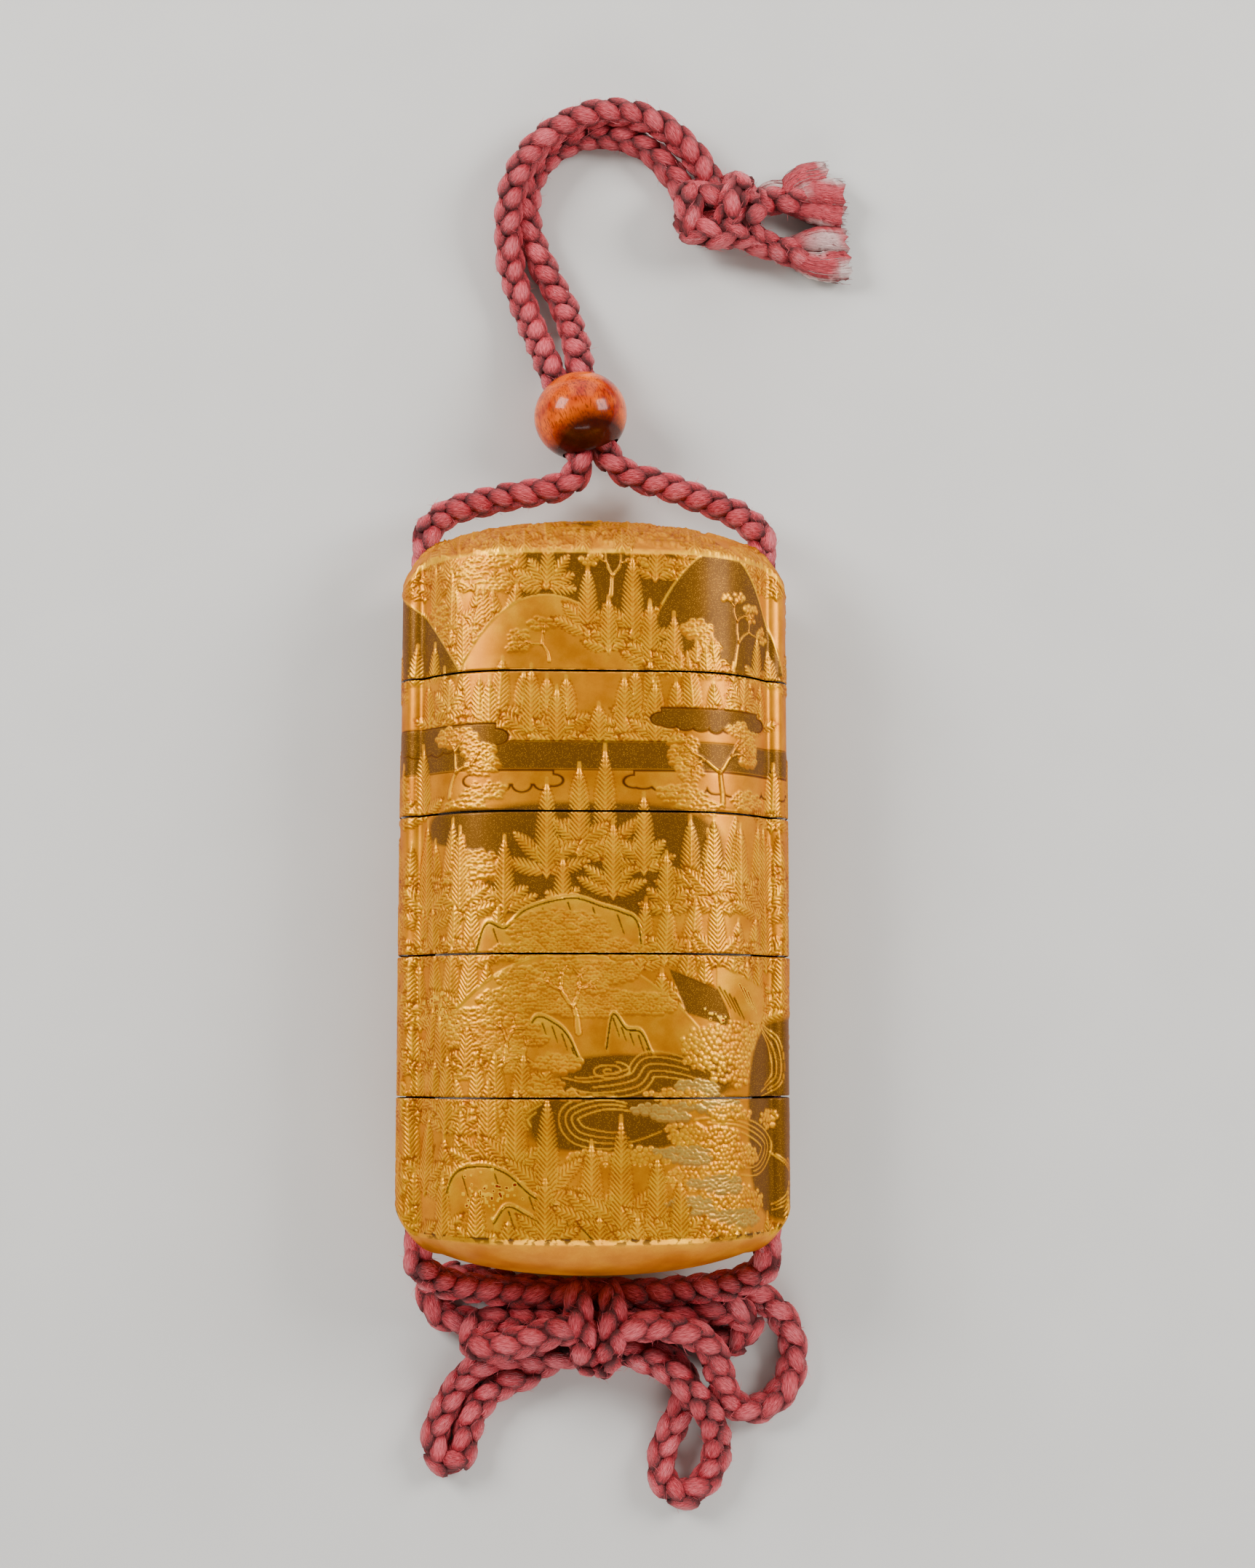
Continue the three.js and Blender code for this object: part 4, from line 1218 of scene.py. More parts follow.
    def cedars(self) -> None:
        """Paints the second tray: tall cedars before the dark, above a ledge."""
        self.dark(-18, 16, -4, 10.4, 1)
        self.dark(-21, -9.6, 5, 9.6, 0.5)
        self.grove(-29, -15, -2.5, 10.5, 8)
        self.grove(13, 29, -2.5, 10.5, 9)
        self.leaves([(-14.8, 2.4, 3.6, 2), (-18, 0.4, 2.6, 1.4)])
        self.stand(((1, 3, 14), (-2.2, 4, 10.8), (-6.2, 1.4, 11.4), (5.8, 1.8, 9.4), (11.6, -1, 9.4),
                    (-11.4, -3.2, 9), (14.6, -3, 11.4), (18.2, -2.4, 10), (2, -1.2, 9),
                    (-4.2, -3, 6.4), (8.6, -3.2, 7.2), (-17, -4, 11), (-21.2, -5, 13),
                    (21.4, -4, 12)))
        self.grove(-29, -11, -9.6, 7.4, 8)
        self.grove(4, 29, -9.8, 7.6, 10)
        self.rock([(-15, -8.4), (-13.6, -4.4), (-11.2, -4.9), (-8.6, -2.6), (-3.2, -1.2), (0.6, -2.2),
                   (3.2, -3), (5, -4.2), (5.6, -8.6)], -8.6, 6)
        self.leaves([(-4.6, -5.6, 6.2, 2.6), (-1.2, -8, 7.4, 1.6), (-9, -8.2, 4, 1.3)], 0.8)

    def pines(self) -> None:
        """Paints the third tray: a round hill with pines over rocks, and groves beside it."""
        p, x = self.sheet, self.x
        self.grove(-30, -12, -17, 9, 9)
        self.grove(6, 30, -16, 8, 10)
        p.area(x(8), x(18), -18, -10, lambda s, y: np.minimum(
            np.minimum(y + 16.8 - 0.3 * (x(15) - s), x(15.8) - s - 0.2 * (y + 12)),
            np.minimum(s - x(10.4) + 0.4 * (y + 14), -11.4 - 0.4 * (s - x(12)) - y)),
               soft=0.15, **BARE, tone=0.5)
        p.hill(lambda s: -8.2 - 0.035 * (s - x(-3.6)) ** 2, x(-24), x(15.6), -28, -4, 1, 0.62, 4, 0.42)
        self.leaves([(-6.8, -11.6, 5.4, 1.7), (0.2, -10.8, 5, 1.5), (-1, -14.4, 7, 1.8),
                     (-10.6, -14.2, 4.2, 1.7), (6.2, -14.6, 3.6, 1.4)], 0.72)
        self.leaves([(-15, -17.6, 4.4, 2.6), (-17.2, -21.6, 5, 2.4), (-11.2, -20.4, 4.6, 2.6)], 0.68)
        self.rock([(-8.8, -19), (-7.4, -15.8), (-5, -16.6), (-3.4, -18.2), (-2.2, -20.8), (-0.6, -23.6)],
                  -23.4, 6)
        self.rock([(1.2, -19.6), (2, -15.4), (3.6, -17.2), (5.4, -17.6), (6.6, -20), (7.2, -21)],
                  -20.8, 5)
        p.tree(x(-2.2), -18, -0.15, 3.4, 0.36, 3, 1.6)
        p.tree(x(-12.2), -24.6, 0.15, 3.4, 0.34, 3, 1.6)
        p.tiles(x(-19.8), -15.6, 4.6, 5.2, 56)
        p.tiles(x(15), -16.2, 3, 2.6, 16)
        self.leaves([(14, -19.4, 3.8, 2.2), (18.8, -18, 3.2, 2.8), (26, -14, 2.6, 5),
                     (17, -22.6, 4.6, 2)], 0.66, Leaf.BEAD)
        p.area(x(15), x(21.6), -17.2, -9.6, lambda s, y: np.minimum(
            np.minimum(s - x(15.4) + 0.55 * (y + 13.4), x(21.2) - s + 0.1 * (y + 13.4)),
            np.minimum(y + 16.6, -10.2 - 0.35 * (s - x(16.4)) - y)), soft=0.15, gold=1, height=0.05,
               **CLEAR, tone=0.58)
        self.slashes(15.2, -12.4, 4, 0)
        self.slashes(17.9, -12, 3, 0.95)

    def slashes(self, x: float, y: float, count: int, red: float) -> None:
        """Draws slanting cuts side by side, dark or of a share of red."""
        for k in range(count):
            s, top = self.x(x) + 0.75 * k, y - 0.45 * k
            self.sheet.line([(s, top), (s + 1.7, top - 2.6)], 0.16, 0.5, -0.02,
                            ink=0.0 if red else 0.8, tile=red)

    def water(self) -> None:
        """Paints the stream that winds through the lower trays, with cedars and foliage before it."""
        p, x = self.sheet, self.x
        edge = x(SIDE_X)
        self.grove(-30, -15, -22.6, 7, 7)
        self.grove(-29, -6, -29.5, 8, 12)
        self.dark(-5, 17, -26.4, -20.6, 0.6)
        self.dark(-8.4, 11, -32.4, -25.6, 0.6)
        self.dark(19, 33, -41.5, -16, 0.8)
        p.whirl(x(1.6), -22.6, 1.5, 2.2)
        self.stream([(-4.6, -23.6), (-1, -24.6), (4.4, -23.8), (6.6, -21.8), (12, -22.8), (17.6, -26.4)],
                    5, 0.8)
        self.stream([(6.4, -27.4), (1, -26.4), (-3.2, -27.8), (-2, -30.4), (3.6, -31), (9, -29.4)],
                    4, 0.85)
        self.stream([(-7.6, -30.4), (-9, -28.4), (-6.6, -26.6)], 3, 0.7)
        self.stream([(12, -28.8), (18, -29.2), (21.4, -31.6), (20, -34.6), (14, -34.2)], 4, 0.7)
        p.stream([(edge + 6, -23), (edge, -26.4), (edge - 1, -31), (edge + 3, -35), (edge, -39.6),
                  (x(20.4), -42)], 3, 0.75)
        p.stream([(x(22), -32.6), (edge - 3, -35), (edge - 4, -38.4), (x(21), -40.2)], 3, 0.6)
        self.stream([(20.8, -17), (22.6, -19.4), (23, -23.6), (20.4, -25.8)], 4, 0.6)
        self.leaves([(14.2, -21.4, 3.6, 1.1), (16, -23.4, 2.2, 0.9), (5.2, -32.6, 4, 1),
                     (-0.6, -33.2, 3.2, 0.9), (10.8, -30, 2.4, 1), (8, -25.4, 2, 0.5)],
                    0.66, Leaf.BEAD)
        self.leaves([(-4.8, -21.8, 3, 1.1), (-6.2, -24.6, 2.2, 1), (-3.8, -25.6, 2.6, 0.6)])
        self.leaves([(13.4, -30.6, 5, 1.3), (16.8, -33, 4.6, 1.6), (13, -35.4, 4.8, 1.8),
                     (17, -38.6, 5.4, 2.2), (13.2, -41.6, 5.4, 2.2)], 0.62, Leaf.BEAD)
        for s, y, wide in ((7.6, -27.4, 3.6), (13.4, -26.6, 4.6), (12.2, -24.6, 3), (10.4, -32.6, 3.6),
                           (14.8, -36.2, 3.8), (17.2, -40.2, 3.8), (19.8, -43.2, 3), (11.4, -38.6, 3)):
            lobes = [(x(s), y, wide, 0.75), (x(s) + 0.4 * wide, y - 0.8, 0.7 * wide, 0.6)]
            p.foliage(lobes, 0.8, Leaf.SCALE, 0.7, 0.85)
        self.leaves([(10.2, -25.8, 3.6, 0.8), (16.8, -27.8, 3.6, 0.9), (6, -33.4, 3, 0.9)],
                    0.62, Leaf.BEAD)
        self.leaves([(26, -19.5, 2, 2.6), (21.6, -28.6, 1.6, 1.2), (30, -29, 2, 4),
                     (22.4, -43.6, 4, 1.6)], 0.66, Leaf.BEAD)
        self.grove(-30, -9, -37.4, 9.5, 9)
        self.stand(((-13.2, -34.6, 11), (-9.8, -35.6, 11), (-6, -38.6, 12.8)))
        self.rock([(-19, -40.4), (-17.4, -35), (-14.2, -33.8), (-11, -34.6), (-7.6, -37.4),
                   (-4, -39), (0.4, -43.4)], -44, 4)
        p.tiles(x(-12.6), -37.6, 6.8, 3.8, 70)
        self.rock([(-12.4, -40.6), (-10.8, -38.6), (-8.4, -39.6), (-5.2, -41.6), (-3.8, -42.4)], -43, 3)
        self.stand(((-6.2, -43.6, 8.4), (-0.6, -41, 9.6), (3, -42.6, 14), (7.4, -43.4, 10.4),
                    (10.2, -43.8, 8), (-18.8, -44.4, 9), (-14.6, -45, 8), (-22.4, -45, 10),
                    (-10.6, -46, 5.6), (0.4, -45.6, 5.6), (5, -46, 6), (13.6, -46.4, 5.4),
                    (17.4, -46.8, 5), (21.6, -46.4, 6), (24.4, -45, 7), (-24.6, -43, 9)))

    def back(self) -> None:
        """Paints the plainer back: broad hills, mist bands and a few cedars and pines."""
        p, half = self.sheet, self.form.girth / 2
        for y, tall in ((34, 8), (14, 8), (-6, 8.5), (-26, 8)):
            centre = half + p.random.uniform(-9, 9)
            p.hill(lambda s: y + 4 - 0.012 * (s - centre) ** 2, half - 30, half + 30, y - 16, y + 5,
                   1, 0.66, 6, 0.42)
            for _ in range(9):
                p.cedar(half + p.random.uniform(-24, 24), y - p.random.uniform(0, 5),
                        tall * p.random.uniform(0.7, 1.2))
            for _ in range(3):
                p.foliage([(half + p.random.uniform(-22, 22), y - p.random.uniform(3, 8), 4, 1.6)], 0.9)
        for y, wide in ((25, 15), (4.6, 18), (-16.4, 14)):
            centre = half + p.random.uniform(-6, 6)
            p.cloud(centre - wide, centre + wide, y - 1.6, y + 1.6, 0, 0.4, 1.1)
        p.stream([(half - 20, -37), (half - 9, -35), (half, -38), (half + 10, -36), (half + 20, -38)], 5, 0.9)
        p.foliage([(half + 14, -31, 5, 2.2), (half + 9, -33, 4, 1.4)], 0.9, Leaf.BEAD)
        p.rock([(half - 16, -42), (half - 12, -37.4), (half - 7, -38.6), (half - 2, -43)], -44, 6)


@dataclass
class CrownPicture:
    """The smaller picture on the lid's crown, laid out flat in x and z."""
    form: CaseForm
    step: float = 0.1
    seed: int = 17
    margin: float = 2.0
    ground_tone: float = 0.5

    def build(self) -> Picture:
        """Paints leaves and branches on gold between dark gaps, and returns the sheet."""
        reach = self.form.depth / 2 + self.margin
        p = Picture(self.form.width + 2 * self.margin, -reach, reach, self.step, self.seed, wraps=False)
        p.layers["gold"][:] = 1.0
        p.layers["tone"][:] = self.ground_tone
        for _ in range(9):
            s, y = p.random.uniform(-20, 16), p.random.uniform(-10, 10)
            p.cloud(s, s + p.random.uniform(4, 8), y - 1.2, y + 1.2, 0.0, 0.5, 0.7)
        for _ in range(75):
            s, y = p.random.uniform(-24, 24), p.random.uniform(-12.5, 12.5)
            leaf = Leaf.SCALE if p.random.random() < 0.6 else Leaf.BEAD
            p.foliage([(s, y, p.random.uniform(2, 4.5), p.random.uniform(0.8, 1.8))], 0.95, leaf, 0.66)
        for _ in range(22):
            p.cedar(p.random.uniform(-22, 22), p.random.uniform(-13, 9), p.random.uniform(5, 8), 0.0, 0.72, 1)
        for _ in range(9):
            s, y = p.random.uniform(-20, 20), p.random.uniform(-11, 4)
            p.tree(s, y, p.random.uniform(-0.4, 0.4), 2.0, 0.22, 2, 1.0)
        p.soften()
        return p


# ---- the sections ----------------------------------------------------------------------------
@dataclass
class Columns:
    """Positions round the outline, close together on the front and wider apart behind."""
    form: CaseForm
    front: float = 0.12
    side: float = 0.28
    back: float = 0.5
    side_before: float = 5.0
    side_behind: float = 4.0

    def build(self) -> Array:
        """Returns arc lengths, from the middle of the left side round the front to the same again."""
        quarter = self.form.girth / 4
        near, far = quarter - self.side_before, quarter + self.side_behind
        half = [0.0]
        while half[-1] < 2 * quarter:
            s = half[-1]
            half.append(s + (self.front if s < near else self.side if s < far else self.back))
        share = np.array(half[:-1]) * (2 * quarter / half[-1])
        knee = int(np.argmin(np.abs(share - quarter)))
        share[knee] = quarter
        ring = np.concatenate([share, [2 * quarter], 4 * quarter - share[:0:-1]])
        return np.roll(ring, knee)


@dataclass
class Section:
    """One section of the case: outer wall with its raised picture, riser, hollow and cord channels."""
    name: str
    form: CaseForm
    columns: Array
    picture: Picture
    crown: Picture
    low: float
    high: float
    bottom: End
    top: End
    row: float = 0.14
    rim: float = 0.16
    grow: float = 0.04
    relief: float = 0.72
    crown_relief: float = 1.7
    back_loss: float = 0.55
    inset: float = 0.12
    riser_thickness: float = 1.2
    clearance: float = 0.3
    floor: float = 1.2
    socket: tuple[float, float, float] = (18.6, 10.9, 4.0)
    channel_radius: float = 2.0
    sharp: float = 68.0
    ring: Array = field(init=False)
    normal: Array = field(init=False)
    strength: Array = field(init=False)
    rings: list[Array] = field(default_factory=list)
    values: list[dict[str, Array]] = field(default_factory=list)

    def __post_init__(self) -> None:
        """Works out the outline at the columns, and the picture's strength, less on the back."""
        self.ring, self.normal = self.form.outline(self.columns)
        behind = np.clip(self.form.past_quarter(self.columns) / 5.0, 0, 1)
        self.strength = 1.0 - self.back_loss * behind

    def build(self, outside: Material, inside: Material) -> Object:
        """Builds the closed section.

        Args:
            outside: finish of the outer wall.
            inside: finish of the rims, the riser and the hollow.

        Returns:
            The section's object.
        """
        self.add_rings()
        count = len(self.columns)
        attributes = {name: np.concatenate([value[name] for value in self.values]) for name in self.values[0]}
        faces = self.skin(len(self.rings), count)
        wall = len(faces)
        faces += self.cap(self.rings[0], 0, True)
        faces += self.cap(self.rings[-1], (len(self.rings) - 1) * count, False)
        obj = mesh_object(self.name, np.concatenate(self.rings), faces, attributes, outside)
        obj.data.materials.append(inside)
        index = np.zeros(len(faces), np.int32)
        if self.bottom is End.FLAT:
            index[wall:wall + count - 2] = 1
        if self.top is End.FLAT:
            index[wall + count - 2:] = 1
        obj.data.polygons.foreach_set("material_index", index)
        self.hollow(obj, inside)
        obj.data.set_sharp_from_angle(angle=math.radians(self.sharp))
        return obj

    def wall_end(self, end: End, flat: float) -> Array:
        """Heights where the wall stops: even at a flat end, along the edge of a domed one."""
        return np.full(len(self.ring), flat) if end is End.FLAT else self.form.dome(1.0, self.ring, end)[:, 1]

    def add_rings(self) -> None:
        """Adds the outer rings, lowest first, with the picture's values on each."""
        top_y = self.wall_end(self.top, self.high + self.grow)
        low_y = self.wall_end(self.bottom, self.low - self.grow)
        middle = len(self.ring) // 4
        rows = int((top_y[middle] - low_y[middle]) / self.row)
        turns = [math.radians(angle) for angle in (0, 30, 60)]
        start = stop = 0.0
        if self.top is End.FLAT:
            stop = self.rim
        if self.bottom is End.FLAT:
            start = self.rim
            for turn in turns:
                self.rim_ring(low_y, turn, 1)
        else:
            for lam in reversed(self.lambdas()):
                self.dome_ring(lam, self.bottom)
        for t in np.linspace(0, 1, rows):
            self.wall_ring(low_y + start + t * (top_y - stop - low_y - start))
        if self.top is End.FLAT:
            for turn in reversed(turns):
                self.rim_ring(top_y, turn, -1)
        else:
            for lam in self.lambdas():
                self.dome_ring(lam, self.top)

    def lambdas(self) -> list[float]:
        """Ring positions of a domed end, from just inside the wall to beside the ridge line."""
        count = 34 if self.top is End.CROWN else 16
        return [0.994, 0.986, 0.976, 0.966, 0.955] + list(np.linspace(0.94, 0.02, count))

    def rim_ring(self, y: Array, turn: float, side: int) -> None:
        """Adds a worn ring of a flat end's rim, a turn round it from its end at y."""
        self.wall_ring(y + side * self.rim * (1 - math.sin(turn)), self.rim * (1 - math.cos(turn)), 0.5)

    def wall_ring(self, y: Array, inward: float = 0.0, wear: float = 0.0) -> None:
        """Adds a ring of the wall, pushed out by the picture's height.

        Args:
            y: its height at each column.
            inward: how far it is drawn in.
            wear: least wear along it.
        """
        read = {name: self.picture.sample(name, self.columns, y) for name in LAYERS}
        amount = read.pop("height") * self.relief * self.strength - self.inset - inward
        at = self.ring + self.normal * amount[:, None]
        self.rings.append(np.stack([at[:, 0], y, self.form.depth / 2 + at[:, 1]], -1))
        read["wear"] = np.full(len(y), wear)
        if self.bottom is End.UNDERSIDE:
            above = y - self.wall_end(self.bottom, self.low)
            read["wear"] = np.maximum(read["wear"], np.clip(1.0 - above / 0.5, 0, 1))
        self.values.append(read)

    def dome_ring(self, lam: float, end: End) -> None:
        """Adds a ring of the crown or of the plain underside, 1 at the wall and 0 on the ridge line."""
        at = self.form.dome(lam, self.ring, end)
        if end is End.CROWN:
            side, worn = 1, 0.25
            inner = float(np.clip((1 - lam) / 0.03, 0, 1))
            z = at[:, 2] - self.form.depth / 2
            read = {name: self.crown.sample(name, at[:, 0], z) * inner for name in LAYERS}
            # Painted highlight: a bright gold band along the crown's edge, where the picture fades out.
            read["gold"] += 1 - inner
            read["tone"] += (1 - inner) * 0.95
        else:
            side, worn = -1, 1.0
            read = {name: np.zeros(len(at)) for name in LAYERS}
            read["gold"] += 1.0
            # Painted light: the plain underside grows brighter towards the wall, where it rounds into it.
            read["tone"] += 0.42 + 0.3 * lam ** 6
        up = read.pop("height") * self.crown_relief - self.inset * np.clip(lam * 3, 0, 1)
        outward = np.stack([self.ring[:, 0] * 0.02 * lam, np.full(len(at), side * 0.9),
                            self.ring[:, 1] / (self.form.depth / 2) * 0.7 * lam], -1)
        self.rings.append(at + outward * up[:, None])
        read["wear"] = np.full(len(at), max(0.0, 1 - (1 - lam) / 0.05) * worn)
        self.values.append(read)

    def skin(self, rows: int, count: int) -> list[Any]:
        """Faces between neighbouring rings, facing outwards."""
        i = np.arange(rows - 1)[:, None] * count
        j = np.arange(count)[None, :]
        k = (j + 1) % count
        return np.stack([i + j, i + k, i + count + k, i + count + j], -1).reshape(-1, 4)[:, ::-1].tolist()

    def cap(self, ring: Array, first: int, low: bool) -> list[list[int]]:
        """Closes a ring with a zip of triangles between its front and its back.

        Args:
            ring: the ring's points.
            first: number of its first point.
            low: whether it is the lowest ring.

        Returns:
            The faces.
        """
        count = len(ring)
        x = ring[:, 0]
        right, left = int(np.argmax(x)), int(np.argmin(x))
        front = [(left + i) % count for i in range((right - left) % count + 1)]
        back = [(left - i) % count for i in range((left - right) % count + 1)]
        faces = []
        i = j = 0
        while i + 1 < len(front) or j + 1 < len(back):
            step_front = j + 1 >= len(back) or (i + 1 < len(front) and x[front[i + 1]] <= x[back[j + 1]])
            nxt = front[i + 1] if step_front else back[j + 1]
            if front[i] != back[j] and nxt not in (front[i], back[j]):
                faces.append([first + front[i], first + nxt, first + back[j]])
            i, j = (i + 1, j) if step_front else (i, j + 1)
        return [face[::-1] for face in faces] if low else faces

    def hollow(self, obj: Object, inside: Material) -> None:
        """Cuts the socket, the hollow and the channels, and adds the riser."""
        gap, inner = self.clearance, self.clearance + self.riser_thickness
        if self.top is End.CROWN:
            ceiling = self.form.lid_edge - 2
            self.oblong(obj, inside, [(self.low - 1, 0), (ceiling, 0), (ceiling + 1.6, 1.6, 1.9),
                                      (ceiling + 3.2, 6, 5)])
        else:
            floor_top = self.form.base_edge + self.floor
            if self.bottom is End.FLAT:
                deep = self.low + RISER + gap
                self.oblong(obj, inside, [(self.low - 1, 0), (deep, 0)])
                floor_top = deep + self.floor
            tip = self.high + RISER
            self.oblong(obj, inside, [(self.high - 3, gap), (tip - 0.25, gap), (tip, gap + 0.25)], "UNION")
            self.oblong(obj, inside, [(floor_top, inner + 0.8), (floor_top + 0.8, inner), (tip - 0.25, inner),
                                      (tip + 1, inner - 0.9)])
        for side in (-1, 1):
            bar = [round_ring(self.channel_radius, self.channel_radius, y, self.form.depth / 2, sides=40)
                   + np.array([side * CHANNEL_X, 0, 0]) for y in (-60.0, 60.0)]
            combine(obj, closed_tube("drill", bar, inside), "DIFFERENCE")

    def oblong(self, obj: Object, finish: Material, levels: Route, operation: str = "DIFFERENCE") -> None:
        """Cuts a rounded oblong out of the section, or adds it.

        Args:
            obj: the section.
            finish: finish of the faces that it brings.
            levels: height of each ring, and by how much it is smaller than the socket in x and in z.
            operation: DIFFERENCE or UNION.
        """
        ax, az, power = self.socket
        rings = [round_ring(ax - less[0], az - less[-1], y, self.form.depth / 2, power)
                 for y, *less in levels]
        combine(obj, closed_tube("cutter", rings, finish), operation)


# ---- the bead --------------------------------------------------------------------------------
@dataclass
class Bead:
    """Round polished bead with a slot through it for the two strands."""
    centre: tuple[float, ...]
    radius: float = 6.3
    squash: float = 0.93
    tilt: float = 0.294
    slot: tuple[float, float, float] = (7.7, 4.1, 2.6)
    flare: float = 0.55
    rim: tuple = ((0.66, 0.0), (0.80, 0.08), (0.90, 0.3), (0.97, 0.75), (1.3, 1.2))
    sides: int = 112
    sharp: float = 40.0

    def build(self, finish: Material) -> Object:
        """Builds the bead, with the slot's rims eased, and returns it."""
        reach = self.radius * self.squash
        rings = []
        for turn in np.linspace(-math.pi / 2 + 0.02, math.pi / 2 - 0.02, 72):
            around = self.radius * math.cos(turn)
            rings.append(round_ring(around, around, reach * math.sin(turn), sides=self.sides))
        obj = closed_tube("amber_bead", rings, finish)
        wide, tall, power = self.slot
        rings = []
        for share, grow in [(-y, grow) for y, grow in self.rim[::-1]] + list(self.rim):
            more = self.flare * grow
            rings.append(round_ring(wide / 2 + more, tall / 2 + more, share * reach, power=power,
                                    sides=self.sides))
        combine(obj, closed_tube("slot", rings, finish), "DIFFERENCE")
        obj.data.transform(Matrix.Translation(Vector(self.centre) * MM) @ Matrix.Rotation(self.tilt, 4, "Z"))
        obj.data.set_sharp_from_angle(angle=math.radians(self.sharp))
        return obj


# ---- the cord --------------------------------------------------------------------------------
def follow(route: Route, step: float = 0.35) -> Array:
    """Points along the smooth curve through a route, close together.

    Args:
        route: the points that the curve passes through.
        step: spacing of the result.

    Returns:
        Points x, y, z.
    """
    p = np.asarray(route, float)
    knots = np.concatenate([[0], np.cumsum(np.sqrt(np.linalg.norm(np.diff(p, axis=0), axis=1)))])
    padded = np.concatenate([[2 * p[0] - p[1]], p, [2 * p[-1] - p[-2]]])
    times = np.concatenate([[2 * knots[0] - knots[1]], knots, [2 * knots[-1] - knots[-2]]])
    out = []
    for i in range(len(p) - 1):
        t0, t1, t2, t3 = times[i:i + 4]
        a, b, c, d = padded[i:i + 4]
        count = max(2, int(np.linalg.norm(c - b) / step) + 1)
        t = np.linspace(t1, t2, count, endpoint=False)[:, None]
        ab = (t1 - t) / (t1 - t0) * a + (t - t0) / (t1 - t0) * b
        bc = (t2 - t) / (t2 - t1) * b + (t - t1) / (t2 - t1) * c
        cd = (t3 - t) / (t3 - t2) * c + (t - t2) / (t3 - t2) * d
        abc = (t2 - t) / (t2 - t0) * ab + (t - t0) / (t2 - t0) * bc
        bcd = (t3 - t) / (t3 - t1) * bc + (t - t1) / (t3 - t1) * cd
        out.append((t2 - t) / (t2 - t1) * abc + (t - t1) / (t2 - t1) * bcd)
    out.append(p[-1:])
    return np.concatenate(out)


